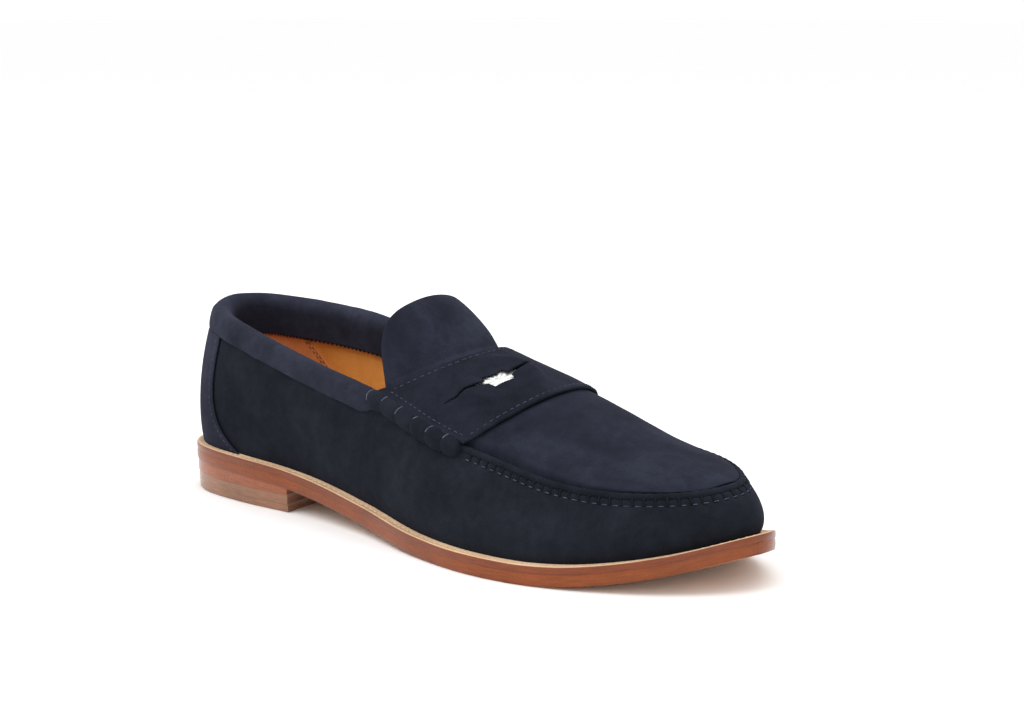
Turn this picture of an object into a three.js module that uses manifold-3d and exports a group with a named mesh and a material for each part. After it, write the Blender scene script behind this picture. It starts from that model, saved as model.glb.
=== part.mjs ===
// Penny loafer, right foot: suede moccasin upper with a slotted saddle strap over a coin,
// beef-roll ends, a free tongue, a leather-lined foot space, a welted leather sole and a stacked heel.
// Millimetres, +X towards the toe, +Y towards the inner side of the foot, +Z up.
// The modelling frame starts at the back of the heel on the ground; the last lines centre the shoe.

import * as THREE from 'three';
import Module from 'manifold-3d';

const wasm = await Module();
wasm.setup();

// ---------------------------------------------------------------- driving dimensions
const SHOE_LENGTH = 300;
const GAP = 0.3;
const OUTSOLE = 4.3;
const WELT = 2.9;
const WELT_WIDTH = 9.5;
const SOLE = OUTSOLE + GAP + WELT;
const WELT_MARGIN = 4.5;
const HEEL_MARGIN = 4.5;
const TOE_MARGIN = 5.7;
const LEATHER = 2;
const LINING = 1.1;
const STIFFENER = 1.3;
const LINING_FOOT = 3.8;
const LINING_DROP = 11.8;
const VAMP_LINING_DROP = 3;
const COUNTER_DROP = 26;
const INSOLE = 2.8;
const SOCK = 1.2;
const SOCK_INSET = 11;
const CORK_START = 0.52;
const CORK_END = 0.985;
const CORK_CLEAR = 0.7;
const SHANK_START = 46;
const SHANK_LENGTH = 104;
const SHANK_WIDTH = 14;
const HEEL_LENGTH = 83;
const BREAST_SKEW = 9;
const BREAST_HOLLOW = 3;
const TOP_PIECE = 3.1;
const HEEL_LIFT = 3.9;
const RUBBER_LENGTH = 44;
const WEDGE_INSET = 0.6;
const LIFT_INSET = 1;
const TOP_PIECE_INSET = 1.4;
const PIN_RADIUS = 1.1;
const PIN_COUNT = 5;
const PIN_CLEAR = 0.3;
const PIN_ARC_CENTRE = 32;
const PIN_ARC_RADIUS = 23;
const PIN_ARC_ANGLE = 0.36 * Math.PI;
const BAND_DROP_BACK = 12.5;
const BAND_DROP_SIDE = 9.3;
const FACING_DROP = 18.5;
const BEEFROLL_RADIUS = 3.5;
const APRON_LEATHER = 1.6;
const STRAP_LEATHER = 1.2;
const STRAP_REAR = 0.002;
const STRAP_FRONT = 0.247;
const POCKET_DIP = 1.7;
const COIN_DIAMETER = 19;
const COIN_THICKNESS = 1.5;
const COIN_U = 0.117;
const COIN_W = 0.335;
const COIN_SLIDE = 3;
const SLIT_LENGTH = 50;
const SLIT_WIDTH = 1.2;
const WINDOW_LENGTH = 13.6;
const WINDOW_WIDTH = 8;
const WINDOW_WAIST = 0.5;
const CUTTER_REACH = 14;
const TONGUE_LEATHER = 1.6;

// One rib per outline point, heel, outer side, toe, inner side:
// outline [x, y], top edge [x, y, z] and how far the wall bulges low and high on the rib.
const RIBS = [
  { foot: [0, 0], top: [6.5, 0, 79.5], bulge: [3.5, 4] },
  { foot: [6, -19.3], top: [12.5, -13, 77.2], bulge: [4, 3.8] },
  { foot: [24, -31.4], top: [27, -22, 74.6], bulge: [5, 3] },
  { foot: [55, -35], top: [56, -28.5, 70.3], bulge: [4, 3] },
  { foot: [95, -34], top: [94, -31.5, 63], bulge: [5, 3] },
  { foot: [135, -38.5], top: [139, -33, 54.5], bulge: [5, 2] },
  { foot: [175, -48.2], top: [176, -36.5, 45], bulge: [5, 3] },
  { foot: [210, -52.2], top: [207, -34.5, 38.6], bulge: [4, 4] },
  { foot: [240, -47.7], top: [236, -34, 34.4], bulge: [4, 4] },
  { foot: [268, -34], top: [261, -28.5, 33.4], bulge: [4, 4] },
  { foot: [289, -16.2], top: [280, -13, 34], bulge: [4, 4] },
  { foot: [300, 5], top: [287.5, 4, 35.6], bulge: [4, 4] },
  { foot: [294, 22.6], top: [283, 18, 36.6], bulge: [4, 4] },
  { foot: [275, 39.5], top: [264, 31, 38], bulge: [4, 4] },
  { foot: [247, 51.9], top: [236, 36.8, 40.2], bulge: [4, 4] },
  { foot: [215, 55.5], top: [206, 38.8, 44.8], bulge: [4, 4] },
  { foot: [180, 48.8], top: [172, 40, 50.5], bulge: [4, 4] },
  { foot: [148, 36], top: [138, 35.5, 58], bulge: [4, 3] },
  { foot: [115, 29.3], top: [108, 32.5, 66.5], bulge: [4, 3] },
  { foot: [80, 30.8], top: [76, 31, 73], bulge: [5, 3] },
  { foot: [50, 33.9], top: [49, 29, 76], bulge: [4, 3] },
  { foot: [24, 31.3], top: [25, 23, 78], bulge: [5, 3] },
  { foot: [6, 19], top: [12.5, 13, 79.5], bulge: [4, 3.8] },
];
const TOE_RIB = 11;
const OUTER_CORNER_RIB = 5;
const INNER_CORNER_RIB = 17;

// Height of the outsole's underside along the shoe, [x, z].
const SOLE_PROFILE = [
  [0, 12.6], [35, 12.2], [72, 10.9], [100, 8.1], [130, 4.5], [160, 1.6],
  [185, 0.3], [200, 0], [232, 0], [255, 1.6], [280, 6.5], [300, 13.2],
];

// How far the instep's crest stands forward of and above its two edges, strap to toe, [dx, dz].
const INSTEP_RISE = [[27, 14], [19.5, 15], [14.5, 13], [9, 8], [6, 4.6], [2.5, 2], [0, 0]];
const ARCH_POWER = 0.8;

// The tongue's centre line, [x, z], from the strap's edge to its tip.
const TONGUE_SPINE = [[162.6, 71.2], [156, 79], [147, 85.6], [138.5, 90.2], [133.5, 91.8]];
const TONGUE_DRAFT = 0.47;

// ---------------------------------------------------------------- small maths
const vec = (x, y, z) => new THREE.Vector3(x, y, z);
const UP = vec(0, 0, 1);
const clamp = THREE.MathUtils.clamp;
const lerp = THREE.MathUtils.lerp;
const smooth = THREE.MathUtils.smoothstep;
const ribs = RIBS.length;

// Cubic through points [x, y] with slopes taken from each point's neighbours.
function profile(points, x) {
  const last = points.length - 1;
  let i = 0;
  while (i < last - 1 && x > points[i + 1][0]) i += 1;
  const slope = (k) => {
    const a = points[Math.max(k - 1, 0)];
    const b = points[Math.min(k + 1, last)];
    return (b[1] - a[1]) / (b[0] - a[0]);
  };
  const width = points[i + 1][0] - points[i][0];
  const s = clamp((x - points[i][0]) / width, 0, 1);
  const s2 = s * s;
  const s3 = s2 * s;
  return (2 * s3 - 3 * s2 + 1) * points[i][1] + (s3 - 2 * s2 + s) * width * slope(i)
    + (3 * s2 - 2 * s3) * points[i + 1][1] + (s3 - s2) * width * slope(i + 1);
}

const soleBottom = (x) => Math.max(0, profile(SOLE_PROFILE, x));

function closedCurve(points) {
  return new THREE.CatmullRomCurve3(points, true, 'catmullrom');
}

const wrap = (t) => ((t % 1) + 1) % 1;

// ---------------------------------------------------------------- outline and wall surface
const TOE_T = TOE_RIB / ribs;
const outlineCurve = closedCurve(RIBS.map((rib) => vec(rib.foot[0], rib.foot[1], 0)));

function outlineNormal(t) {
  const step = 0.002;
  const along = outlineCurve.getPoint(wrap(t + step)).sub(outlineCurve.getPoint(wrap(t - step)));
  return along.cross(UP).normalize();
}

// A point on the outline moved inwards by inset; its z is zero.
function outlineAt(t, inset) {
  return outlineCurve.getPoint(wrap(t)).addScaledVector(outlineNormal(t), -inset);
}

// How far the upper stands inside the sole's edge.
function marginAt(x) {
  const behindToe = lerp(HEEL_MARGIN, WELT_MARGIN, smooth(x, 60, 130));
  return lerp(behindToe, TOE_MARGIN, smooth(x, 265, 300));
}

function wallControls() {
  const rows = [[], [], [], []];
  RIBS.forEach((rib, i) => {
    const out = outlineNormal(i / ribs);
    const foot = outlineAt(i / ribs, marginAt(rib.foot[0]));
    foot.z = soleBottom(foot.x) + SOLE + GAP;
    const top = vec(...rib.top);
    const height = top.z - foot.z;
    rows[0].push(foot);
    rows[1].push(foot.clone().addScaledVector(out, rib.bulge[0]).addScaledVector(UP, 0.35 * height));
    rows[2].push(top.clone().addScaledVector(out, rib.bulge[1]).addScaledVector(UP, -0.25 * height));
    rows[3].push(top);
  });
  return rows.map(closedCurve);
}

const wallCurves = wallControls();

// The wall's outer face: t runs round the shoe, v from the welt (0) to the top edge (1).
function wallPoint(t, v) {
  const weights = [(1 - v) ** 3, 3 * v * (1 - v) ** 2, 3 * v * v * (1 - v), v ** 3];
  const point = vec(0, 0, 0);
  wallCurves.forEach((curve, i) => point.addScaledVector(curve.getPoint(wrap(t)), weights[i]));
  return point;
}

function wallFrame(t, v) {
  const step = 0.002;
  const rise = wallPoint(t, v + step).sub(wallPoint(t, v - step)).normalize();
  const along = wallPoint(t + step, v).sub(wallPoint(t - step, v)).normalize();
  return { rise, out: along.cross(rise).normalize() };
}

const wallHeight = (t) => wallPoint(t, 0).distanceTo(wallPoint(t, 0.5))
  + wallPoint(t, 0.5).distanceTo(wallPoint(t, 1));

// A point drop millimetres below the wall's top edge and out millimetres off its outer face.
function wallAt(t, drop, out) {
  const v = Math.min(1, 1 - drop / wallHeight(t));
  const frame = wallFrame(t, v);
  const above = Math.max(0, -drop);
  return wallPoint(t, v).addScaledVector(frame.rise, above).addScaledVector(frame.out, out);
}

// ---------------------------------------------------------------- instep surface
// u runs from the strap's rear edge (0) to the toe (1), w from the outer edge (0) to the inner edge (1).
const RIM_RISE = GAP + APRON_LEATHER + 0.05;
const RIM_INSET = 0.8;
const outerT = (u) => lerp(OUTER_CORNER_RIB, TOE_RIB, u) / ribs;
const innerT = (u) => lerp(INNER_CORNER_RIB, TOE_RIB, u) / ribs;
const arch = (w) => Math.max(0, 4 * w * (1 - w)) ** ARCH_POWER;
const risePoints = INSTEP_RISE.map((rise) => vec(rise[0], 0, rise[1]));
const riseCurve = new THREE.CatmullRomCurve3(risePoints, false, 'catmullrom');

function instepPoint(u, w) {
  const outer = wallAt(outerT(u), -RIM_RISE, -RIM_INSET);
  const inner = wallAt(innerT(u), -RIM_RISE, -RIM_INSET);
  return outer.lerp(inner, w).addScaledVector(riseCurve.getPoint(clamp(u, 0, 1)), arch(w));
}

function instepNormal(u, w) {
  const step = 0.01;
  const a = clamp(w, 2 * step, 1 - 2 * step);
  const b = clamp(u, step, 1 - 3 * step);
  const along = instepPoint(b + step, a).sub(instepPoint(b - step, a));
  const across = instepPoint(b, a + step).sub(instepPoint(b, a - step));
  return along.cross(across).normalize();
}

// How strongly the coin pocket opens at a place under the strap, from 0 to 1.
function pocket(u, w) {
  const q = clamp((u - STRAP_REAR) / (STRAP_FRONT - STRAP_REAR), 0, 1);
  const lengthwise = Math.sqrt(4 * q * (1 - q));
  const crosswise = 1 - smooth(Math.abs(w - COIN_W), 0.16, 0.36);
  return lengthwise * crosswise;
}

function instepAt(u, w, height) {
  return instepPoint(u, w).addScaledVector(instepNormal(u, w), height);
}

// ---------------------------------------------------------------- solids from point grids
// Joins equal corners and drops the triangles that this makes flat.
function solid(corners, faces) {
  const keys = new Map();
  const position = [];
  const index = corners.map((p) => {
    const key = [p.x, p.y, p.z].map((value) => Math.round(value * 1000)).join(',');
    if (!keys.has(key)) {
      keys.set(key, keys.size);
      position.push(p.x, p.y, p.z);
    }
    return keys.get(key);
  });
  const kept = faces.map((face) => face.map((i) => index[i]))
    .filter(([a, b, c]) => a !== b && b !== c && c !== a);
  const geometry = new THREE.BufferGeometry();
  geometry.setAttribute('position', new THREE.Float32BufferAttribute(position, 3));
  geometry.setIndex(kept.flat());
  return geometry;
}

// A thick sheet: front and back give its two faces as functions of (i / rows, j / cols).
// Seen from the front, i runs to the right and j upwards. With ring, i closes on itself.
function sheet(rows, cols, front, back, ring = false) {
  const corners = [];
  const faces = [];
  const lines = ring ? rows : rows + 1;
  for (const side of [front, back]) {
    for (let i = 0; i < lines; i += 1) {
      for (let j = 0; j <= cols; j += 1) corners.push(side(i / rows, j / cols));
    }
  }
  const at = (side, i, j) => (side * lines + (i % lines)) * (cols + 1) + j;
  const quad = (a, b, c, d) => faces.push([a, b, c], [a, c, d]);
  for (let i = 0; i < rows; i += 1) {
    for (let j = 0; j < cols; j += 1) {
      quad(at(0, i, j), at(0, i + 1, j), at(0, i + 1, j + 1), at(0, i, j + 1));
      quad(at(1, i, j), at(1, i, j + 1), at(1, i + 1, j + 1), at(1, i + 1, j));
    }
    quad(at(0, i, 0), at(1, i, 0), at(1, i + 1, 0), at(0, i + 1, 0));
    quad(at(0, i + 1, cols), at(1, i + 1, cols), at(1, i, cols), at(0, i, cols));
  }
  for (let j = 0; !ring && j < cols; j += 1) {
    quad(at(0, 0, j + 1), at(1, 0, j + 1), at(1, 0, j), at(0, 0, j));
    quad(at(0, rows, j), at(1, rows, j), at(1, rows, j + 1), at(0, rows, j + 1));
  }
  return solid(corners, faces);
}

// ---------------------------------------------------------------- joining and cutting
function toManifold(geometry) {
  const mesh = new wasm.Mesh({
    numProp: 3,
    vertProperties: new Float32Array(geometry.attributes.position.array),
    triVerts: new Uint32Array(geometry.index.array),
  });
  return new wasm.Manifold(mesh);
}

function fromManifold(manifold) {
  const mesh = manifold.getMesh();
  const geometry = new THREE.BufferGeometry();
  geometry.setAttribute('position', new THREE.BufferAttribute(mesh.vertProperties, 3));
  geometry.setIndex(new THREE.BufferAttribute(mesh.triVerts, 1));
  return geometry;
}

// A solid disc with merged corners, standing along +Z.
function disc(radius, height, sides) {
  const ring = (z) => (i) => {
    const angle = i * 2 * Math.PI;
    return vec(radius * Math.cos(angle), radius * Math.sin(angle), z);
  };
  const centre = (place, j) => place.multiply(vec(1 - j, 1 - j, 1));
  return sheet(sides, 1,
    (i, j) => centre(ring(height / 2)(i), j),
    (i, j) => centre(ring(-height / 2)(i), j), true);
}

// ---------------------------------------------------------------- sole pieces
// A flat-lying plate inside the outline between two stations, low and high giving its faces' heights.
function solePlate(rows, cols, from, to, insetAt, low, high) {
  const place = (i, j) => {
    const s = lerp(from, to, i);
    return outlineAt(s * TOE_T, insetAt(s)).lerp(outlineAt(1 - s * (1 - TOE_T), insetAt(s)), j);
  };
  const lift = (point, height) => point.setZ(height(point.x));
  return sheet(rows, cols,
    (i, j) => lift(place(i, j), high),
    (i, j) => lift(place(i, j), low));
}

const soleLevel = (height) => (x) => soleBottom(x) + height;

function outsole() {
  return solePlate(44, 1, 0, 1, () => 0, soleLevel(0), soleLevel(OUTSOLE));
}

function welt() {
  const height = (z) => (i, j) => {
    const point = outlineAt(1 - i, WELT_WIDTH * (1 - j));
    return point.setZ(soleBottom(point.x) + z);
  };
  return sheet(88, 1, height(SOLE), height(OUTSOLE + GAP), true);
}

function insole() {
  const inset = (s) => marginAt(outlineAt(s * TOE_T, 0).x) + LEATHER + 2 * GAP;
  return solePlate(32, 1, 0, 1, inset, soleLevel(SOLE + GAP), soleLevel(SOLE + GAP + INSOLE));
}

function sockLiner() {
  const bottom = SOLE + 2 * GAP + INSOLE;
  return solePlate(32, 1, 0, 1, () => SOCK_INSET, soleLevel(bottom), soleLevel(bottom + SOCK));
}

function corkFiller() {
  const inset = () => WELT_WIDTH + GAP;
  const bottom = soleLevel(OUTSOLE + GAP);
  return solePlate(18, 1, CORK_START, CORK_END, inset, bottom, soleLevel(SOLE - CORK_CLEAR));
}

// A curved steel strip under the arch, from the heel seat to behind the ball.
function shank() {
  const place = (z) => (i, j) => {
    const x = SHANK_START + SHANK_LENGTH * i;
    return vec(x, SHANK_WIDTH * (j - 0.5), soleBottom(x) + z);
  };
  return sheet(12, 1, place(SOLE - 0.6), place(OUTSOLE + GAP));
}

// ---------------------------------------------------------------- heel pieces
// A layer of the heel between two lengths behind the breast; the breast is hollow and set at a skew.
function heelLayer(rows, from, to, inset, low, high) {
  const edge = (reach, direction) => {
    let t = 0;
    while (outlineAt(t, inset).x < reach) t += direction * 0.0005;
    return outlineAt(t, inset);
  };
  const place = (i, j) => {
    const share = lerp(Math.sqrt(from), Math.sqrt(to), i) ** 2;
    const outer = edge(share * HEEL_LENGTH, 1);
    const inner = edge(share * (HEEL_LENGTH - BREAST_SKEW), -1);
    const hollow = BREAST_HOLLOW * 4 * j * (1 - j) * share ** 4;
    return outer.lerp(inner, j).sub(vec(hollow, 0, 0));
  };
  const lift = (point, height) => point.setZ(height(point.x));
  return sheet(rows, 4,
    (i, j) => lift(place(i, j), high),
    (i, j) => lift(place(i, j), low));
}

const rubberShare = RUBBER_LENGTH / HEEL_LENGTH;

function heelWedge() {
  const bottom = () => TOP_PIECE + HEEL_LIFT + 2 * GAP;
  return heelLayer(12, 0, 1, WEDGE_INSET, bottom, (x) => soleBottom(x) - GAP);
}

function heelLift() {
  return heelLayer(12, 0, 1, LIFT_INSET, () => TOP_PIECE + GAP, () => TOP_PIECE + HEEL_LIFT + GAP);
}

function topPieceLeather() {
  return heelLayer(6, rubberShare + GAP / HEEL_LENGTH, 1, TOP_PIECE_INSET, () => 0, () => TOP_PIECE);
}

const pinHeight = TOP_PIECE - 2 * PIN_CLEAR;

function pinPlaces() {
  const places = [];
  for (let i = 0; i < PIN_COUNT; i += 1) {
    const angle = lerp(-PIN_ARC_ANGLE, PIN_ARC_ANGLE, i / (PIN_COUNT - 1));
    const x = PIN_ARC_CENTRE - PIN_ARC_RADIUS * Math.cos(angle);
    places.push(vec(x, PIN_ARC_RADIUS * Math.sin(angle), PIN_CLEAR + pinHeight / 2));
  }
  return places;
}

function topPieceRubber() {
  let rubber = toManifold(heelLayer(10, 0, rubberShare, TOP_PIECE_INSET, () => 0, () => TOP_PIECE));
  for (const place of pinPlaces()) {
    const hole = toManifold(disc(PIN_RADIUS + GAP, 3 * TOP_PIECE, 12));
    rubber = rubber.subtract(hole.translate(place.x, place.y, 0));
  }
  return fromManifold(rubber);
}

// ---------------------------------------------------------------- upper pieces
// How far the wall is cut down under each beef roll, so that the roll lies in the notch.
const ROLL_REAR = 0.012;
const ROLL_FRONT = 0.245;
function notchDrop(t) {
  const rib = wrap(t) * ribs;
  const u = rib < TOE_RIB
    ? (rib - OUTER_CORNER_RIB) / (TOE_RIB - OUTER_CORNER_RIB)
    : (INNER_CORNER_RIB - rib) / (INNER_CORNER_RIB - TOE_RIB);
  const ends = smooth(u, ROLL_REAR - 0.025, ROLL_REAR) * (1 - smooth(u, ROLL_FRONT, ROLL_FRONT + 0.03));
  return ends * (BEEFROLL_RADIUS + 1.2);
}

// A layer that follows the wall between two heights: foot above the feather line, drop below the top.
function wallLayer(rows, cols, from, to, foot, drop, front, back) {
  const face = (out) => (i, j) => {
    const t = lerp(from, to, i);
    const height = wallHeight(t);
    const low = height - foot;
    return wallAt(t, lerp(low, drop(t), j), out);
  };
  return sheet(rows, cols, face(front), face(back));
}

const SEAM = 0.0012;
const LAYER_1 = -LEATHER - 2 * GAP;
const LAYER_2 = LAYER_1 - STIFFENER - 0.5;

function upperWall() {
  return wallLayer(80, 6, SEAM, 1 - SEAM, 0, notchDrop, 0, -LEATHER);
}

// How far the collar's outer band reaches down: more over the back seam than along the sides.
function bandDrop(t) {
  const ribsFromBack = ribs * Math.min(wrap(t), 1 - wrap(t));
  return lerp(BAND_DROP_BACK, BAND_DROP_SIDE, smooth(ribsFromBack, 0.3, 2.2));
}

// The strip over the back seam, wider towards the sole.
function backstay() {
  const halfWidth = (v) => (2.18 + 0.65 * (1 - v) ** 4) / ribs;
  const face = (out) => (i, j) => {
    const t = lerp(-1, 1, i) * halfWidth(j);
    return wallAt(t, lerp(wallHeight(t) - 0.5, bandDrop(t) + 0.7, j), out);
  };
  return sheet(20, 6, face(2), face(0.6));
}

const HEEL_LAYER_T = 1.6 / ribs;
const HEEL_LINING_T = 2.5 / ribs;

function heelCounter() {
  const from = -HEEL_LAYER_T;
  const drop = () => COUNTER_DROP;
  return wallLayer(12, 3, from, HEEL_LAYER_T, LINING_FOOT, drop, LAYER_1, LAYER_1 - STIFFENER);
}

function heelLining() {
  const from = -HEEL_LINING_T;
  return wallLayer(16, 3, from, -from, LINING_FOOT, () => LINING_DROP, LAYER_2, LAYER_2 - LINING);
}

function quarterLining(from, to) {
  const drop = () => LINING_DROP;
  return wallLayer(14, 3, from / ribs, to / ribs, LINING_FOOT, drop, LAYER_1, LAYER_1 - LINING);
}

function toePuff() {
  const drop = () => VAMP_LINING_DROP;
  return wallLayer(18, 3, 8.2 / ribs, 13.8 / ribs, LINING_FOOT, drop, LAYER_1, LAYER_1 - STIFFENER);
}

function vampLining() {
  const drop = (t) => VAMP_LINING_DROP + notchDrop(t);
  return wallLayer(30, 3, 5.9 / ribs, 16.1 / ribs, LINING_FOOT, drop, LAYER_2, LAYER_2 - LINING);
}

// The folded edge binding round the topline, [drop, out]: an outer band, a rounded top and a facing inside.
// The first BAND_ROWS drops are shares of the band's own drop.
const BAND_ROWS = 3;
const COLLAR_OUTER = [[1, 1.4], [0.66, 1.9], [0.25, 2], [0, 1.6], [-1.5, 0], [-2.2, -2.4],
  [-1.7, -5.2], [0, -7], [4, -7.5], [10, -7.4], [FACING_DROP, -7.2]];
const COLLAR_INNER = [[1, GAP], [0.66, GAP], [0.25, GAP], [0, GAP], [-0.4, -0.2], [-0.8, -2.4],
  [-0.5, -4.5], [1, -5.9], [4, -6.1], [10, -6.1], [FACING_DROP, -6]];
const COLLAR_END = 0.09;

function collarSweep(rows, end, outer, inner, bandRows) {
  const cols = outer.length - 1;
  const from = (INNER_CORNER_RIB - ribs + end) / ribs;
  const to = (OUTER_CORNER_RIB - end) / ribs;
  const face = (section) => (i, j) => {
    const t = lerp(from, to, i);
    const row = Math.round(j * cols);
    const [drop, out] = section[row];
    return wallAt(t, row < bandRows ? drop * bandDrop(t) : drop, out);
  };
  return sheet(rows, cols, face(outer), face(inner));
}

function toplineCollar() {
  return collarSweep(46, COLLAR_END, COLLAR_OUTER, COLLAR_INNER, BAND_ROWS);
}

// The foam between the wall and the collar's facing, as the same pairs.
const PADDING_OUTER = [[10.8, LAYER_1], [6, LAYER_1], [1.6, LAYER_1]];
const PADDING_INNER = [[10.8, -5.4], [6, -5.6], [1.6, -5.1]];

function collarPadding() {
  return collarSweep(40, 2 * COLLAR_END, PADDING_OUTER, PADDING_INNER, 0);
}

const ROLL_CLEAR = 0.022;

// How far the apron's edge keeps inside the rim, where the beef roll needs the room.
const rimClear = (u) => ROLL_CLEAR * (1 - smooth(u, ROLL_FRONT + 0.02, ROLL_FRONT + 0.05));

function apronSheet(rows, cols, from, to, high, low, clear) {
  const place = (height) => (i, j) => {
    const u = lerp(from, to, i);
    const edge = rimClear(u) + clear;
    const w = lerp(edge, 1 - edge, j);
    return instepAt(u, w, height - POCKET_DIP * pocket(u, w));
  };
  return sheet(rows, cols, place(high), place(low));
}

function apron() {
  return apronSheet(24, 12, 0.05, 1, 0, -APRON_LEATHER, 0);
}

function apronLining() {
  const top = -APRON_LEATHER - 1;
  return apronSheet(18, 8, 0.06, 0.93, top, top - 0.8, 0.05);
}

// ---------------------------------------------------------------- strap, coin, rolls and tongue
const coinNormal = instepNormal(COIN_U, COIN_W);
const coinCentre = instepAt(COIN_U, COIN_W, GAP + COIN_THICKNESS / 2 - POCKET_DIP + 0.25);

// How far the strap's underside is lifted to lie flat over the coin, wherever the coin slides.
function coinLift(under) {
  const offset = under.clone().sub(coinCentre);
  const height = offset.dot(coinNormal);
  const reach = Math.sqrt(Math.max(0, offset.lengthSq() - height * height));
  const near = 1 - smooth(reach, COIN_DIAMETER / 2 + COIN_SLIDE, COIN_DIAMETER / 2 + 3 * COIN_SLIDE);
  return near * Math.max(0, COIN_THICKNESS / 2 + GAP + 0.15 - height);
}

function strapPoint(q, w, height) {
  const u = lerp(STRAP_REAR, STRAP_FRONT, q);
  return instepAt(u, w, height + coinLift(instepAt(u, w, 2 * GAP)));
}

function alongSlot() {
  const across = instepPoint(COIN_U, COIN_W + 0.05).sub(instepPoint(COIN_U, COIN_W - 0.05));
  return across.addScaledVector(coinNormal, -across.dot(coinNormal)).normalize();
}

// Cutter for the strap's opening: a long slit across the instep with a window over the coin.
function slotCutter() {
  const quarter = [
    [WINDOW_LENGTH / 2 + GAP, SLIT_WIDTH / 2],
    [WINDOW_LENGTH / 2, WINDOW_WIDTH / 2],
    [0, WINDOW_WIDTH / 2 - WINDOW_WAIST],
  ];
  const mirrored = quarter.slice(0, 2).map(([x, y]) => [-x, y]).reverse();
  const half = [[SLIT_LENGTH / 2, 0], ...quarter, ...mirrored];
  const outline = [...half, ...half.map(([x, y]) => [-x, -y])];
  const place = (z) => (i, j) => {
    const [x, y] = outline[Math.round(i * outline.length) % outline.length];
    return vec(x * (1 - j), y * (1 - j), z);
  };
  const cutter = sheet(outline.length, 1, place(CUTTER_REACH), place(-CUTTER_REACH), true);
  const x = alongSlot();
  const y = coinNormal.clone().cross(x);
  cutter.applyMatrix4(new THREE.Matrix4().makeBasis(x, y, coinNormal).setPosition(coinCentre));
  return cutter;
}

function saddleStrap() {
  const place = (height) => (i, j) => strapPoint(i, lerp(ROLL_CLEAR, 1 - ROLL_CLEAR, j), height);
  const band = sheet(8, 16, place(2 * GAP + STRAP_LEATHER), place(2 * GAP));
  return fromManifold(toManifold(band).subtract(toManifold(slotCutter())));
}

function coin() {
  const geometry = disc(COIN_DIAMETER / 2, COIN_THICKNESS, 32);
  const x = alongSlot();
  const y = coinNormal.clone().cross(x);
  geometry.applyMatrix4(new THREE.Matrix4().makeBasis(x, y, coinNormal).setPosition(coinCentre));
  return geometry;
}

// A stuffed roll along the wall's edge, drawn in by the thread wraps.
function beefRoll(from, to) {
  const sides = 8;
  const steps = 20;
  const wraps = 4;
  const ring = (i) => {
    const t = lerp(from, to, i);
    const bulge = 0.86 + 0.14 * Math.abs(Math.sin(i * (wraps + 0.5) * Math.PI));
    const ends = Math.sqrt(clamp(1 - (2 * i - 1) ** 8, 0.2, 1));
    return { t, radius: BEEFROLL_RADIUS * bulge * ends };
  };
  const place = (i, angle, share) => {
    const { t, radius } = ring(i);
    return wallAt(t, 0, 0).add(wallFrame(t, 1).out.multiplyScalar(share * radius * Math.cos(angle)))
      .add(wallFrame(t, 1).rise.multiplyScalar(share * radius * Math.sin(angle)));
  };
  const corners = [];
  const faces = [];
  for (let i = 0; i <= steps; i += 1) {
    for (let k = 0; k < sides; k += 1) corners.push(place(i / steps, k * 2 * Math.PI / sides, 1));
  }
  corners.push(place(0, 0, 0), place(1, 0, 0));
  const [first, last] = [corners.length - 2, corners.length - 1];
  for (let k = 0; k < sides; k += 1) {
    const next = (k + 1) % sides;
    for (let i = 0; i < steps; i += 1) {
      const [a, b] = [i * sides + k, i * sides + next];
      faces.push([a, a + sides, b + sides], [a, b + sides, b]);
    }
    faces.push([first, k, next], [last, steps * sides + next, steps * sides + k]);
  }
  return solid(corners, faces);
}

const spinePoints = TONGUE_SPINE.map(([x, z]) => vec(x, 0, z));
const spineCurve = new THREE.CatmullRomCurve3(spinePoints, false, 'catmullrom');

// The tongue's rows are all the same arch, carried along its centre line and narrowed to a round tip.
function tonguePoint(r, side, height) {
  const taper = Math.sqrt(Math.max(0, 1 - clamp((r - 0.15) / 0.85, 0, 1) ** 2.2));
  const w = 0.5 + side * TONGUE_DRAFT * Math.max(0.04, (1 - 0.2 * r) * taper);
  const crest = instepPoint(0, 0.5);
  const spine = spineCurve.getPoint(r);
  const along = spineCurve.getTangent(r);
  const section = instepPoint(0, w).sub(crest);
  const front = vec(along.z, 0, -along.x);
  const lean = vec(section.x, 0, section.z).length() / 30;
  front.addScaledVector(vec(0, Math.sign(side), 0), lean).normalize();
  return vec(spine.x, crest.y, spine.z).add(section).addScaledVector(front, height);
}

function tongueSheet(rows, cols, from, to, high, low) {
  const place = (height) => (i, j) => tonguePoint(lerp(from, to, i), 1 - 2 * j, height);
  return sheet(rows, cols, place(high), place(low));
}

// ---------------------------------------------------------------- materials and assembly
const finish = (color, roughness, metalness = 0) => ({ color, roughness, metalness });
const SUEDE = finish(0x2b2f3a, 0.95);
const APRON_SUEDE = finish(0x333745, 0.95);
const TAN = finish(0xb07a45, 0.6);
const BROWN = finish(0x6a4430, 0.85);
const WELT_TAN = finish(0xe6c9a8, 0.55);
const SOLE_TAN = finish(0xa06848, 0.4);
const HEEL_TAN = finish(0x9a6448, 0.35);
const RUBBER = finish(0x2a2522, 0.7);
const FOAM = finish(0xd8cfa8, 0.9);
const STIFFENER_PULP = finish(0xcdbb9a, 0.8);
const CORK = finish(0x9a6b42, 0.9);
const STEEL = finish(0x8f9296, 0.35, 1);
const BRASS = finish(0xb89a58, 0.35, 1);
const SILVER = finish(0xd8dad6, 0.25, 1);

const shoe = new THREE.Group();
const OUTLINE_STEPS = 400;
const outlineYs = [];
for (let i = 0; i < OUTLINE_STEPS; i += 1) outlineYs.push(outlineCurve.getPoint(i / OUTLINE_STEPS).y);
const middle = (values) => (Math.min(...values) + Math.max(...values)) / 2;
shoe.position.set(-SHOE_LENGTH / 2, -middle(outlineYs), 0);

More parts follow.
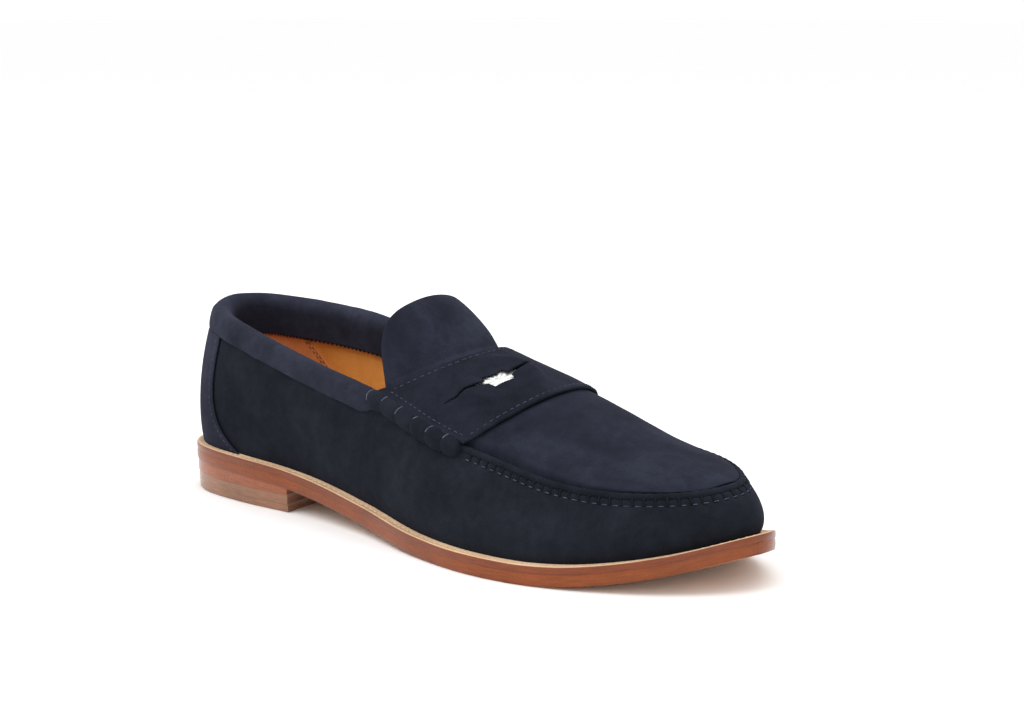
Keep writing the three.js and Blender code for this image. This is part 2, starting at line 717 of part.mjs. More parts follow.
function addPart(name, geometry, look) {
  const material = new THREE.MeshStandardMaterial(look);
  const mesh = new THREE.Mesh(geometry, material);
  mesh.name = name;
  shoe.add(mesh);
  return mesh;
}

addPart('outsole', outsole(), SOLE_TAN);
addPart('welt', welt(), WELT_TAN);
addPart('cork_filler', corkFiller(), CORK);
addPart('shank', shank(), STEEL);
addPart('insole', insole(), TAN);
addPart('sock_liner', sockLiner(), TAN);
addPart('heel_wedge_lift', heelWedge(), HEEL_TAN);
addPart('heel_lift', heelLift(), HEEL_TAN);
addPart('top_piece_leather', topPieceLeather(), HEEL_TAN);
addPart('top_piece_rubber', topPieceRubber(), RUBBER);
pinPlaces().forEach((place, i) => {
  const pin = addPart(`heel_pin_${i + 1}`, disc(PIN_RADIUS, pinHeight, 12), BRASS);
  pin.position.copy(place);
});

addPart('upper_wall', upperWall(), SUEDE);
addPart('backstay', backstay(), SUEDE);
addPart('topline_collar', toplineCollar(), SUEDE);
addPart('collar_padding', collarPadding(), FOAM);
addPart('heel_counter', heelCounter(), STIFFENER_PULP);
addPart('heel_lining', heelLining(), BROWN);
addPart('quarter_lining_outer', quarterLining(2, 5.6), TAN);
addPart('quarter_lining_inner', quarterLining(16.4, 21), TAN);
addPart('toe_puff', toePuff(), STIFFENER_PULP);
addPart('vamp_lining', vampLining(), TAN);
addPart('apron', apron(), APRON_SUEDE);
addPart('apron_lining', apronLining(), TAN);
addPart('saddle_strap', saddleStrap(), APRON_SUEDE);
const rollEnds = [ROLL_REAR, ROLL_FRONT - 0.006];
addPart('beefroll_outer', beefRoll(outerT(rollEnds[0]), outerT(rollEnds[1])), SUEDE);
addPart('beefroll_inner', beefRoll(innerT(rollEnds[1]), innerT(rollEnds[0])), SUEDE);
addPart('coin', coin(), SILVER);
addPart('tongue', tongueSheet(12, 12, 0, 1, 0, -TONGUE_LEATHER), APRON_SUEDE);
const tongueBack = -TONGUE_LEATHER - 2 * GAP;
addPart('tongue_lining', tongueSheet(10, 10, 0.03, 0.96, tongueBack, -TONGUE_LEATHER - 1.5), TAN);

export default shoe;
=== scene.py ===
"""Looks of the penny loafer: its leathers, sole, coin and thread, with camera and light."""

import math

import bpy
import numpy as np
from mathutils import Matrix, Vector

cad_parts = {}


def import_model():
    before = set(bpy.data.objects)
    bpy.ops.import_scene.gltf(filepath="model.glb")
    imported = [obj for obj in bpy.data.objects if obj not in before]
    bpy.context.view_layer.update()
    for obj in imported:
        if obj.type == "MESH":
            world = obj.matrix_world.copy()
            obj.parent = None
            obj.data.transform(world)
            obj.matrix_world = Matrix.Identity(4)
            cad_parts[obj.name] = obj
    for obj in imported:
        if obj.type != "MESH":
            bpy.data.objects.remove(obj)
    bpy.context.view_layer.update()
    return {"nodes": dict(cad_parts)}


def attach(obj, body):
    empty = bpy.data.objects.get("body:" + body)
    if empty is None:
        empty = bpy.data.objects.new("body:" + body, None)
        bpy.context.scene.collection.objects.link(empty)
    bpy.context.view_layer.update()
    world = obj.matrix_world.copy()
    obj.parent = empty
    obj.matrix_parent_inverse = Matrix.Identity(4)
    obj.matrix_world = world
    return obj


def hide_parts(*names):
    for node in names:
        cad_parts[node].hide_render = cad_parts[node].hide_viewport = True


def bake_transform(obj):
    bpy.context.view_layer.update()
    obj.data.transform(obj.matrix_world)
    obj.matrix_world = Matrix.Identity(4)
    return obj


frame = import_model()

# ---- dimensions, in millimetres
SHOE_LENGTH = 300
GAP = 0.3
OUTSOLE = 4.3
WELT = 2.9
WELT_WIDTH = 9.5
SOLE = OUTSOLE + GAP + WELT
WELT_MARGIN = 4.5
HEEL_MARGIN = 4.5
TOE_MARGIN = 5.7
LEATHER = 2
INSOLE = 2.8
SOCK = 1.2
SOCK_INSET = 11
HEEL_LENGTH = 83
BREAST_SKEW = 9
BREAST_HOLLOW = 3
TOP_PIECE = 3.1
HEEL_LIFT = 3.9
RUBBER_LENGTH = 44
BAND_DROP_BACK = 12.5
BAND_DROP_SIDE = 9.3
FACING_DROP = 18.5
ROLL_BULK = 4.1
ROLL_DROP = 0.5
WRAPS = 6
APRON_LEATHER = 1.6
STRAP_LEATHER = 1.2
STRAP_REAR = 0.002
STRAP_FRONT = 0.247
POCKET_DIP = 1.7
COIN_RADIUS = 9.5
COIN_THICKNESS = 1.5
COIN_U = 0.117
COIN_W = 0.335
COIN_SLIDE = 3
TONGUE_LEATHER = 1.6
TONGUE_DRAFT = 0.47
ROLL_REAR = 0.012
ROLL_FRONT = 0.245
RIM_RISE = GAP + APRON_LEATHER + 0.05
RIM_INSET = 0.8
SEAM = 0.0012
LAYER_1 = -LEATHER - 2 * GAP
LAYER_2 = LAYER_1 - 1.8
LINING_FOOT = 3.8
LINING_DROP = 11.8
ARCH_POWER = 0.8
TOE_RIB = 11
OUTER_CORNER_RIB = 5
INNER_CORNER_RIB = 17

# Ribs of the last: outline x, y, top edge x, y, z, and how far the wall bulges low and high.
RIBS = np.array([
    [0, 0, 6.5, 0, 79.5, 3.5, 4], [6, -19.3, 12.5, -13, 77.2, 4, 3.8], [24, -31.4, 27, -22, 74.6, 5, 3],
    [55, -35, 56, -28.5, 70.3, 4, 3], [95, -34, 94, -31.5, 63, 5, 3],
    [135, -38.5, 139, -33, 54.5, 5, 2], [175, -48.2, 176, -36.5, 45, 5, 3],
    [210, -52.2, 207, -34.5, 38.6, 4, 4], [240, -47.7, 236, -34, 34.4, 4, 4],
    [268, -34, 261, -28.5, 33.4, 4, 4], [289, -16.2, 280, -13, 34, 4, 4],
    [300, 5, 287.5, 4, 35.6, 4, 4], [294, 22.6, 283, 18, 36.6, 4, 4], [275, 39.5, 264, 31, 38, 4, 4],
    [247, 51.9, 236, 36.8, 40.2, 4, 4], [215, 55.5, 206, 38.8, 44.8, 4, 4],
    [180, 48.8, 172, 40, 50.5, 4, 4], [148, 36, 138, 35.5, 58, 4, 3],
    [115, 29.3, 108, 32.5, 66.5, 4, 3], [80, 30.8, 76, 31, 73, 5, 3], [50, 33.9, 49, 29, 76, 4, 3],
    [24, 31.3, 25, 23, 78, 5, 3], [6, 19, 12.5, 13, 79.5, 4, 3.8],
], float)
RIB_COUNT = len(RIBS)
TOE_T = TOE_RIB / RIB_COUNT
SOLE_PROFILE = np.array([
    [0, 12.6], [35, 12.2], [72, 10.9], [100, 8.1], [130, 4.5], [160, 1.6], [185, 0.3], [200, 0],
    [232, 0], [255, 1.6], [280, 6.5], [300, 13.2],
], float)
INSTEP_RISE = [[27, 0, 14], [19.5, 0, 15], [14.5, 0, 13], [9, 0, 8], [6, 0, 4.6], [2.5, 0, 2], [0, 0, 0]]
TONGUE_SPINE = [[162.6, 0, 71.2], [156, 0, 79], [147, 0, 85.6], [138.5, 0, 90.2], [133.5, 0, 91.8]]


# ---- small maths on arrays of points
def unit(v):
    return v / np.maximum(np.linalg.norm(v, axis=-1, keepdims=True), 1e-12)


def mix(a, b, share):
    return a + (b - a) * share


def smooth(x, low, high):
    s = np.clip((x - low) / (high - low), 0, 1)
    return s * s * (3 - 2 * s)


def scaled(v, amount):
    return v * np.asarray(amount, float)[..., None]


def hermite(a, b, c, d, f):
    start, end = (c - a) / 2, (d - b) / 2
    return b + f * start + f ** 2 * (3 * (c - b) - 2 * start - end) + f ** 3 * (2 * (b - c) + start + end)


def closed_curve(points):
    points = np.asarray(points, float)

    def at(t):
        place = np.mod(t, 1.0) * len(points)
        i = np.floor(place).astype(int)
        near = [points[(i + k) % len(points)] for k in (-1, 0, 1, 2)]
        return hermite(*near, (place - i)[..., None])
    return at


def open_curve(points):
    points = np.asarray(points, float)
    padded = np.vstack([2 * points[0] - points[1], points, 2 * points[-1] - points[-2]])

    def at(t):
        place = np.clip(t, 0, 1) * (len(points) - 1)
        i = np.minimum(np.floor(place).astype(int), len(points) - 2)
        return hermite(*(padded[i + k] for k in range(4)), (place - i)[..., None])
    return at


def profile(points, x):
    last = len(points) - 1
    i = np.clip(np.searchsorted(points[:, 0], x, side="left") - 1, 0, last - 1)
    slopes = np.array([
        (points[min(k + 1, last), 1] - points[max(k - 1, 0), 1])
        / (points[min(k + 1, last), 0] - points[max(k - 1, 0), 0]) for k in range(last + 1)
    ])
    width = points[i + 1, 0] - points[i, 0]
    s = np.clip((x - points[i, 0]) / width, 0, 1)
    return ((2 * s ** 3 - 3 * s ** 2 + 1) * points[i, 1] + (s ** 3 - 2 * s ** 2 + s) * width * slopes[i]
            + (3 * s ** 2 - 2 * s ** 3) * points[i + 1, 1] + (s ** 3 - s ** 2) * width * slopes[i + 1])


WAVE_COUNT = 7


def waves(p, size, seed):
    """A soft seeded unevenness of points, about -1 to 1, with that wavelength in millimetres."""
    rng = np.random.default_rng(seed)
    total = 0
    for _ in range(WAVE_COUNT):
        direction = unit(rng.normal(size=3)) * 2 * math.pi / (size * rng.uniform(0.7, 1.4))
        total = total + np.sin(p @ direction + rng.uniform(0, 6.28))
    return total / math.sqrt(WAVE_COUNT)


# ---- surfaces of the shoe
def sole_bottom(x):
    return np.maximum(0, profile(SOLE_PROFILE, np.asarray(x, float)))


outline = closed_curve(np.column_stack([RIBS[:, :2], np.zeros(RIB_COUNT)]))


def outline_normal(t):
    along = outline(t + 0.002) - outline(t - 0.002)
    return unit(np.stack([along[..., 1], -along[..., 0], 0 * along[..., 0]], -1))


def outline_at(t, inset):
    t = np.asarray(t, float)
    return outline(t) - scaled(outline_normal(t), inset + 0 * t)


def margin_at(x):
    behind_toe = mix(HEEL_MARGIN, WELT_MARGIN, smooth(x, 60, 130))
    return mix(behind_toe, TOE_MARGIN, smooth(x, 265, 300))


def wall_controls():
    t = np.arange(RIB_COUNT) / RIB_COUNT
    out = outline_normal(t)
    foot = outline_at(t, margin_at(RIBS[:, 0]))
    foot[:, 2] = sole_bottom(foot[:, 0]) + SOLE + GAP
    top = RIBS[:, 2:5]
    height = top[:, 2] - foot[:, 2]
    up = np.zeros_like(foot)
    up[:, 2] = height
    low = foot + scaled(out, RIBS[:, 5]) + 0.35 * up
    high = top + scaled(out, RIBS[:, 6]) - 0.25 * up
    return [closed_curve(row) for row in (foot, low, high, top)]


wall_curves = wall_controls()


def cubic(points, v):
    """Points at a share v of the cubic curves with these four controls."""
    weights = [(1 - v) ** 3, 3 * v * (1 - v) ** 2, 3 * v * v * (1 - v), v ** 3]
    return sum(scaled(p, w) for p, w in zip(points, weights))


def wall_point(t, v):
    return cubic([curve(t) for curve in wall_curves], v)


def wall_frame(t, v):
    rise = unit(wall_point(t, v + 0.002) - wall_point(t, v - 0.002))
    along = unit(wall_point(t + 0.002, v) - wall_point(t - 0.002, v))
    return rise, unit(np.cross(along, rise))


def wall_height(t):
    low, middle, top = (wall_point(t, 0 * t + v) for v in (0, 0.5, 1))
    return np.linalg.norm(middle - low, axis=-1) + np.linalg.norm(top - middle, axis=-1)


def wall_at(t, drop, out):
    """Points drop below the wall's top edge and out off its outer face."""
    t, drop, out = np.broadcast_arrays(np.asarray(t, float), drop, out)
    v = np.minimum(1, 1 - drop / wall_height(t))
    rise, outward = wall_frame(t, v)
    return wall_point(t, v) + scaled(rise, np.maximum(0, -drop)) + scaled(outward, out)


def outer_t(u):
    return mix(OUTER_CORNER_RIB, TOE_RIB, u) / RIB_COUNT


def inner_t(u):
    return mix(INNER_CORNER_RIB, TOE_RIB, u) / RIB_COUNT


rise_curve = open_curve(INSTEP_RISE)


def instep_point(u, w):
    u, w = np.broadcast_arrays(np.asarray(u, float), np.asarray(w, float))
    outer = wall_at(outer_t(u), -RIM_RISE, -RIM_INSET)
    inner = wall_at(inner_t(u), -RIM_RISE, -RIM_INSET)
    arch = np.maximum(0, 4 * w * (1 - w)) ** ARCH_POWER
    return mix(outer, inner, w[..., None]) + scaled(rise_curve(u), arch)


def instep_normal(u, w):
    a, b = np.clip(w, 0.02, 0.98), np.clip(u, 0.01, 0.97)
    along = instep_point(b + 0.01, a) - instep_point(b - 0.01, a)
    across = instep_point(b, a + 0.01) - instep_point(b, a - 0.01)
    return unit(np.cross(along, across))


def instep_at(u, w, height):
    u, w, height = np.broadcast_arrays(np.asarray(u, float), w, height)
    return instep_point(u, w) + scaled(instep_normal(u, w), height)


def pocket(u, w):
    q = np.clip((u - STRAP_REAR) / (STRAP_FRONT - STRAP_REAR), 0, 1)
    return np.sqrt(4 * q * (1 - q)) * (1 - smooth(np.abs(w - COIN_W), 0.16, 0.36))


def notch_drop(t):
    rib = np.mod(t, 1.0) * RIB_COUNT
    u = np.where(rib < TOE_RIB, (rib - OUTER_CORNER_RIB) / (TOE_RIB - OUTER_CORNER_RIB),
                 (INNER_CORNER_RIB - rib) / (INNER_CORNER_RIB - TOE_RIB))
    ends = smooth(u, ROLL_REAR - 0.025, ROLL_REAR) * (1 - smooth(u, ROLL_FRONT - 0.04, ROLL_FRONT - 0.01))
    return ends * 1.5


def band_drop(t):
    from_back = RIB_COUNT * np.minimum(np.mod(t, 1.0), 1 - np.mod(t, 1.0))
    return mix(BAND_DROP_BACK, BAND_DROP_SIDE, smooth(from_back, 0.3, 2.2))


def coin_frame():
    normal = instep_normal(np.array(COIN_U), np.array(COIN_W))
    centre = instep_at(COIN_U, COIN_W, GAP + COIN_THICKNESS / 2 - POCKET_DIP + 0.25)
    across_strap = instep_point(COIN_U, COIN_W + 0.05) - instep_point(COIN_U, COIN_W - 0.05)
    x = unit(across_strap - normal * (across_strap @ normal))
    return centre, x, np.cross(normal, x), normal


spine_curve = open_curve(TONGUE_SPINE)


def tongue_point(r, side, height):
    r, side, height = np.broadcast_arrays(np.asarray(r, float), side, height)
    taper = np.sqrt(np.maximum(0, 1 - np.clip((r - 0.15) / 0.85, 0, 1) ** 2.2))
    w = 0.5 + side * TONGUE_DRAFT * np.maximum(0.04, (1 - 0.2 * r) * taper)
    crest = instep_point(0, 0.5)
    spine = spine_curve(r)
    along = unit(spine_curve(np.minimum(r + 0.002, 1)) - spine_curve(np.maximum(r - 0.002, 0)))
    section = instep_point(0 * w, w) - crest
    front = np.stack([along[..., 2], 0 * r, -along[..., 0]], -1)
    lean = np.linalg.norm(section[..., [0, 2]], axis=-1) / 30
    front = unit(front + np.stack([0 * r, np.sign(side) * lean, 0 * r], -1))
    base = np.stack([spine[..., 0], 0 * r + crest[1], spine[..., 2]], -1)
    return base + section + scaled(front, height)


# ---- meshes
across = outline(np.arange(400) / 400)[:, 1]
ORIGIN = np.array([SHOE_LENGTH / 2, (across.min() + across.max()) / 2, 0])


def row_frame(p):
    return (np.asarray(p, float) - ORIGIN) / 1000


def add_object(name, data):
    obj = bpy.data.objects.new(name, data)
    bpy.context.scene.collection.objects.link(obj)
    return obj


def make_object(name, points, faces, materials, places=None, face_materials=None, smooth_angle=50):
    """A mesh object from points in the shoe's millimetres. places are optional (length, height) pairs."""
    mesh = bpy.data.meshes.new(name)
    mesh.from_pydata(row_frame(points).tolist(), [], [list(map(int, f)) for f in faces])
    if places is not None:
        layer = mesh.attributes.new("place", "FLOAT_VECTOR", "POINT")
        flat = np.zeros((len(points), 3))
        flat[:, :2] = np.asarray(places) / 1000
        layer.data.foreach_set("vector", flat.astype(np.float32).ravel())
    for material in materials:
        mesh.materials.append(material)
    if face_materials is not None:
        mesh.polygons.foreach_set("material_index", np.asarray(face_materials, np.int32))
    mesh.validate()
    mesh.polygons.foreach_set("use_smooth", [True] * len(mesh.polygons))
    obj = add_object(name, mesh)
    bpy.context.view_layer.objects.active = obj
    with bpy.context.temp_override(object=obj, active_object=obj, selected_editable_objects=[obj]):
        bpy.ops.object.shade_smooth_by_angle(angle=math.radians(smooth_angle))
    return obj


def quads_of(rows, cols, at):
    """Quads over rows and columns of points, which at(row, column) numbers."""
    a, b = np.meshgrid(np.arange(rows), np.arange(cols), indexing="ij")
    corners = ((a, b), (a + 1, b), (a + 1, b + 1), (a, b + 1))
    return np.stack([at(x, y).ravel() for x, y in corners], -1)


def grid(rows, cols):
    """Shares i and j over a grid, and its quads. Seen from the front, i runs right and j up."""
    i, j = np.meshgrid(np.arange(rows + 1) / rows, np.arange(cols + 1) / cols, indexing="ij")
    return i.ravel(), j.ravel(), quads_of(rows, cols, lambda x, y: x * (cols + 1) + y)


def ring_quads(rows, sides):
    """Quads between closed rings of points."""
    return quads_of(rows, sides, lambda x, y: x * sides + y % sides)


def border_of(quads):
    """Directed edges of the quads that have no neighbour on their other side."""
    edges = np.concatenate([quads[:, [k, (k + 1) % 4]] for k in range(4)])
    edges = edges[edges[:, 0] != edges[:, 1]]
    there = set(map(tuple, edges.tolist()))
    return np.array([e for e in edges.tolist() if (e[1], e[0]) not in there])


def thick(front, back, quads, rounding, segments=4):
    """A closed body between two faces whose rim is rounded by that many millimetres.
    Also returns each point's (length along the rim, height off the back face)."""
    front, back = front.copy(), back.copy()
    rim = border_of(quads)
    through = unit(front - back)
    outward = np.zeros_like(front)
    steps = unit(front[rim[:, 1]] - front[rim[:, 0]])
    for end in (0, 1):
        np.add.at(outward, rim[:, end], np.cross(steps, through[rim[:, end]]))
    used = np.unique(rim)
    outward[used] = unit(outward[used])
    front[used] -= rounding * outward[used]
    back[used] -= rounding * outward[used]
    middle, half = (front + back) / 2, (front - back) / 2
    count = len(front)
    slot_of = -np.ones(count, int)
    slot_of[used] = np.arange(len(used))
    angles = [math.pi * k / segments for k in range(1, segments)]
    layers = [middle[used] + half[used] * math.cos(a) + outward[used] * rounding * math.sin(a)
              for a in angles]
    points = np.vstack([front, back, *layers])
    between = [2 * count + k * len(used) + np.arange(len(used)) for k in range(segments - 1)]
    ids = [used, *between, used + count]
    a, b = slot_of[rim[:, 0]], slot_of[rim[:, 1]]
    faces = [quads, quads[:, ::-1] + count]
    for upper, lower in zip(ids, ids[1:]):
        faces.append(np.stack([upper[b], upper[a], lower[a], lower[b]], -1))
    return points, np.vstack(faces), rim_places(points, front, back, used, ids, rim)


def rim_places(points, front, back, used, ids, rim):
    """(length, height) of each point: length runs along the rim from where it starts."""
    follow = dict(rim.tolist())
    length = np.zeros(len(front))
    left = set(int(x) for x in used)
    while left:
        at = min(left)
        total = 0.0
        while at in left:
            left.discard(at)
            length[at] = total
            following = follow[at]
            total += float(np.linalg.norm(front[following] - front[at]))
            at = following
    places = np.zeros((len(points), 2))
    deep = np.linalg.norm(front - back, axis=-1)
    places[:len(front), 1] = deep
    for k, ring in enumerate(ids):
        places[ring, 0] = length[used]
        places[ring, 1] = deep[used] * (1 + math.cos(math.pi * k / (len(ids) - 1))) / 2
    return places


def sheet_object(name, front, back, quads, rounding, materials, segments=4, pick=None, shade=50):
    """A leather piece between two faces. pick chooses a material for each face of the mesh."""
    points, faces, places = thick(front, back, quads, rounding, segments)
    chosen = pick(len(quads), len(faces)) if pick else None
    return make_object(name, points, faces, materials, places, chosen, shade)


def end_caps(rows, sides):
    return [list(range(sides)), list(range(rows * sides, (rows + 1) * sides))[::-1]]


def rod(name, rows, sides, point):
    """A rod of suede. point gives its points from shares of its length and turns round it."""
    i = np.repeat(np.arange(rows + 1) / rows, sides)
    turn = np.tile(np.arange(sides) * 2 * math.pi / sides, rows + 1)
    faces = ring_quads(rows, sides).tolist() + end_caps(rows, sides)
    return make_object(name, point(i, turn), faces, [SUEDE], None, None, 70)


def at_height(p, height):
    """The same points at a height that depends on their place along the shoe."""
    p = p.copy()
    p[:, 2] = height(p[:, 0])
    return p


def tube(path, radius, up):
    """Points and faces of a thread along a path; radius may vary along it."""
    sides = 6
    along = unit(np.gradient(path, axis=0))
    side = unit(np.cross(along, up))
    lift = np.cross(side, along)
    radius = np.broadcast_to(radius, len(path))
    turn = np.arange(sides) * 2 * math.pi / sides
    rings = (path[:, None] + radius[:, None, None] * (side[:, None] * np.cos(turn)[None, :, None]
                                                      + lift[:, None] * np.sin(turn)[None, :, None]))
    quads = ring_quads(len(path) - 1, sides)[:, [0, 3, 2, 1]].tolist()
    return rings.reshape(-1, 3), quads + [cap[::-1] for cap in end_caps(len(path) - 1, sides)]


def join(parts):
    """One list of points and faces from several."""
    points, faces, start = [], [], 0
    for p, f in parts:
        points.append(p)
        faces += [[int(x) + start for x in face] for face in f]
        start += len(p)
    return np.vstack(points), faces


STITCH_RINGS = np.array([0, 0.18, 0.5, 0.82, 1])
STITCH_GIRTH = np.array([0.35, 0.9, 1, 0.9, 0.35])
STITCH_LIFT = np.array([-1.1, 0.1, 0.45, 0.1, -1.1])


def stitches(path, normal, pitch, length, radius):
    gaps = np.linalg.norm(np.diff(path, axis=0), axis=1)
    run = np.concatenate([[0], np.cumsum(gaps)])
    count = max(1, int(run[-1] // pitch))
    step = run[-1] / count
    look = lambda data, s: np.stack([np.interp(s, run, data[:, k]) for k in range(3)], -1)
    parts = []
    for k in range(count):
        s = (k + 0.5) * step + (STITCH_RINGS - 0.5) * length
        p, n = look(path, s), unit(look(normal, s))
        p = p + n * (STITCH_LIFT * radius)[:, None]
        parts.append(tube(p, radius * STITCH_GIRTH, n))
    return join(parts)


# ---- materials
def new_material(name, roughness, specular, more=()):
    """A new material with its node tree and shader. more sets other inputs of the shader."""
    material = bpy.data.materials.new(name)
    material.use_nodes = True
    shader = material.node_tree.nodes["Principled BSDF"]
    for key, value in {"Roughness": roughness, "Specular IOR Level": specular, **dict(more)}.items():
        shader.inputs[key].default_value = value
    return material, material.node_tree, shader


def node(tree, kind, values=(), links=()):
    made = tree.nodes.new(kind)
    for key, value in dict(values).items():
        if isinstance(key, int) or key in made.inputs:
            made.inputs[key].default_value = value
        else:
            setattr(made, key, value)
    for key, source in dict(links).items():
        tree.links.new(source, made.inputs[key])
    return made


def coordinates(tree, stretch=(1, 1, 1), attribute=None):
    if attribute:
        source = node(tree, "ShaderNodeAttribute", {"attribute_name": attribute}).outputs["Vector"]
    else:
        source = node(tree, "ShaderNodeTexCoord").outputs["Object"]
    return node(tree, "ShaderNodeMapping", {"Scale": stretch}, {"Vector": source}).outputs["Vector"]


def noise(tree, vector, scale, detail=3.0, rough=0.55, distortion=0.0):
    values = {"Scale": scale, "Detail": detail, "Roughness": rough, "Distortion": distortion}
    return node(tree, "ShaderNodeTexNoise", values, {"Vector": vector}).outputs["Fac"]


def grains(tree, vector, scale):
    made = node(tree, "ShaderNodeTexVoronoi", {"Scale": float(scale)}, {"Vector": vector})
    return made.outputs["Distance"]


def ramp(tree, value, first, second, start=0.3, end=0.7):
    """From the first colour to the second as the value goes from start to end."""
    made = node(tree, "ShaderNodeValToRGB", links={"Fac": value})
    for element, place, color in zip(made.color_ramp.elements, (start, end), (first, second)):
        element.position = place
        element.color = (*color, 1)
    return made.outputs["Color"]


def greys(tree, value, low, high, start=0.3, end=0.7):
    return ramp(tree, value, (low,) * 3, (high,) * 3, start, end)


def overlay(tree, color, pattern, low, high, share):
    """The colour made darker and lighter by a pattern, from a low to a high grey."""
    made = node(tree, "ShaderNodeMix", {"data_type": "RGBA", "blend_type": "OVERLAY", 0: share})
    tree.links.new(color, made.inputs[6])
    tree.links.new(greys(tree, pattern, low, high), made.inputs[7])
    return made.outputs[2]


def add_bump(tree, shader, heights):
    """heights are (value, distance in metres, strength) from coarse to fine."""
    normal = None
    for value, distance, strength in heights:
        links = {"Height": value}
        if normal is not None:
            links["Normal"] = normal
        values = {"Distance": distance, "Strength": strength}
        normal = node(tree, "ShaderNodeBump", values, links).outputs["Normal"]
    tree.links.new(normal, shader.inputs["Normal"])


def srgb(color):
    """Linear colour from 0 to 255 screen values."""
    return tuple(((c / 255 + 0.055) / 1.055) ** 2.4 if c > 10 else c / 255 / 12.92 for c in color)


def tones(tree, value, dark, light, start=0.3, end=0.7):
    return ramp(tree, value, srgb(dark), srgb(light), start, end)


def suede(name, dark, light, sheen, seed=0.0):
    nap = {"Sheen Weight": sheen, "Sheen Roughness": 0.5, "Sheen Tint": (*srgb((150, 156, 190)), 1)}
    material, tree, shader = new_material(name, 0.95, 0.04, nap)
    moved = node(tree, "ShaderNodeVectorMath", {1: (seed, seed, seed)}, {0: coordinates(tree)})
    place = moved.outputs["Vector"]
    patches = noise(tree, place, 34, 3, 0.55, 0.6)
    mottle = noise(tree, place, 210, 5, 0.62, 0.3)
    fibre = noise(tree, place, 2300, 3, 0.6)
    color = overlay(tree, tones(tree, patches, dark, light, 0.34, 0.68), mottle, 0.30, 0.70, 0.42)
    tree.links.new(overlay(tree, color, fibre, 0.34, 0.66, 0.5), shader.inputs["Base Color"])
    add_bump(tree, shader, [(mottle, 0.0006, 0.22), (fibre, 0.00025, 0.5)])
    return material


def leather(name, dark, light, roughness, specular, grain=900):
    material, tree, shader = new_material(name, roughness, specular)
    place = coordinates(tree)
    patches = noise(tree, place, 30, 4, 0.6, 0.8)
    pores = grains(tree, place, grain)
    fine = noise(tree, place, grain * 1.3, 3, 0.6)
    color = overlay(tree, tones(tree, patches, dark, light), fine, 0.42, 0.58, 0.6)
    tree.links.new(color, shader.inputs["Base Color"])
    polish = greys(tree, patches, roughness - 0.08, roughness + 0.1, 0.2, 0.8)
    tree.links.new(polish, shader.inputs["Roughness"])
    add_bump(tree, shader, [(pores, 0.00012, 0.35), (fine, 0.000072, 0.4)])
    return material


def edge_leather(name, dark, light, roughness):
    """Cut and waxed leather edge: thin streaks along the edge, glossy."""
    wax = {"Coat Weight": 0.12, "Coat Roughness": 0.22}
    material, tree, shader = new_material(name, roughness, 0.22, wax)
    streaks = noise(tree, coordinates(tree, (1, 26, 1), "place"), 110, 4, 0.6, 0.2)
    fine = noise(tree, coordinates(tree, (1, 9, 1), "place"), 900, 3, 0.6)
    patches = noise(tree, coordinates(tree), 28, 3, 0.6, 0.5)
    color = overlay(tree, tones(tree, streaks, dark, light, 0.25, 0.75), patches, 0.36, 0.62, 0.6)
    tree.links.new(overlay(tree, color, fine, 0.4, 0.6, 0.4), shader.inputs["Base Color"])
    tree.links.new(greys(tree, fine, roughness - 0.08, roughness + 0.12), shader.inputs["Roughness"])
    add_bump(tree, shader, [(streaks, 0.00012, 0.3), (fine, 0.00005, 0.3)])
    return material


def thread(name, color, lit):
    material, tree, shader = new_material(name, 0.7, 0.06, {"Sheen Weight": 0.04})
    twist = noise(tree, coordinates(tree), 1800, 2, 0.6)
    tree.links.new(tones(tree, twist, color, lit, 0.35, 0.65), shader.inputs["Base Color"])
    add_bump(tree, shader, [(twist, 0.0001, 0.5)])
    return material


def metal(name, dark, light, roughness, grain=1500):
    material, tree, shader = new_material(name, roughness, 0.5, {"Metallic": 1.0})
    wear = noise(tree, coordinates(tree), 260, 4, 0.6)
    fine = noise(tree, coordinates(tree), grain, 3, 0.6)
    tree.links.new(tones(tree, wear, dark, light), shader.inputs["Base Color"])
    tree.links.new(greys(tree, wear, roughness + 0.14, roughness - 0.05), shader.inputs["Roughness"])
    add_bump(tree, shader, [(fine, 0.00005, 0.3)])
    return material


def crumb(name, dark, light, scale):
    """Cork, stiffener and rubber: grains or cells."""
    material, tree, shader = new_material(name, 0.85, 0.25)
    cells = grains(tree, coordinates(tree), scale)
    fine = noise(tree, coordinates(tree), scale * 3, 3, 0.6)
    color = overlay(tree, tones(tree, cells, light, dark, 0.1, 0.7), fine, 0.4, 0.6, 0.7)
    tree.links.new(color, shader.inputs["Base Color"])
    add_bump(tree, shader, [(cells, 0.0002, 0.4), (fine, 0.0001, 0.4)])
    return material


# The upper is one navy suede in four tones. The apron and tongue tone is lighter as painted light on the
# upward faces, and the collar and backstay tone is lighter as painted light from the back left. The wall
# tone is darker as painted shade on the side faces. The strap's tone lies between them.
SUEDE = suede("suede_wall_painted_shade", (21, 23, 29), (30, 33, 40), 0.04)
APRON_SUEDE_PAINTED_LIGHT = suede("suede_apron_painted_light", (27, 29, 38), (38, 41, 52), 0.05, 3.1)
STRAP_SUEDE = suede("suede_strap", (24, 26, 34), (33, 36, 45), 0.04, 8.3)
COLLAR_SUEDE_PAINTED_LIGHT = suede("suede_collar_painted_light", (31, 33, 42), (44, 46, 58), 0.05, 5.7)
TAN = leather("lining_tan", (196, 124, 52), (222, 152, 76), 0.5, 0.35)
BROWN = leather("lining_heel_grip", (192, 116, 66), (220, 142, 88), 0.75, 0.2, 1400)
INSOLE_TAN = leather("insole_leather", (170, 112, 62), (196, 140, 86), 0.6, 0.3)
WELT_TOP = leather("welt_top", (188, 154, 120), (214, 182, 150), 0.55, 0.2, 700)
WELT_EDGE = edge_leather("welt_edge", (96, 46, 24), (130, 66, 36), 0.3)
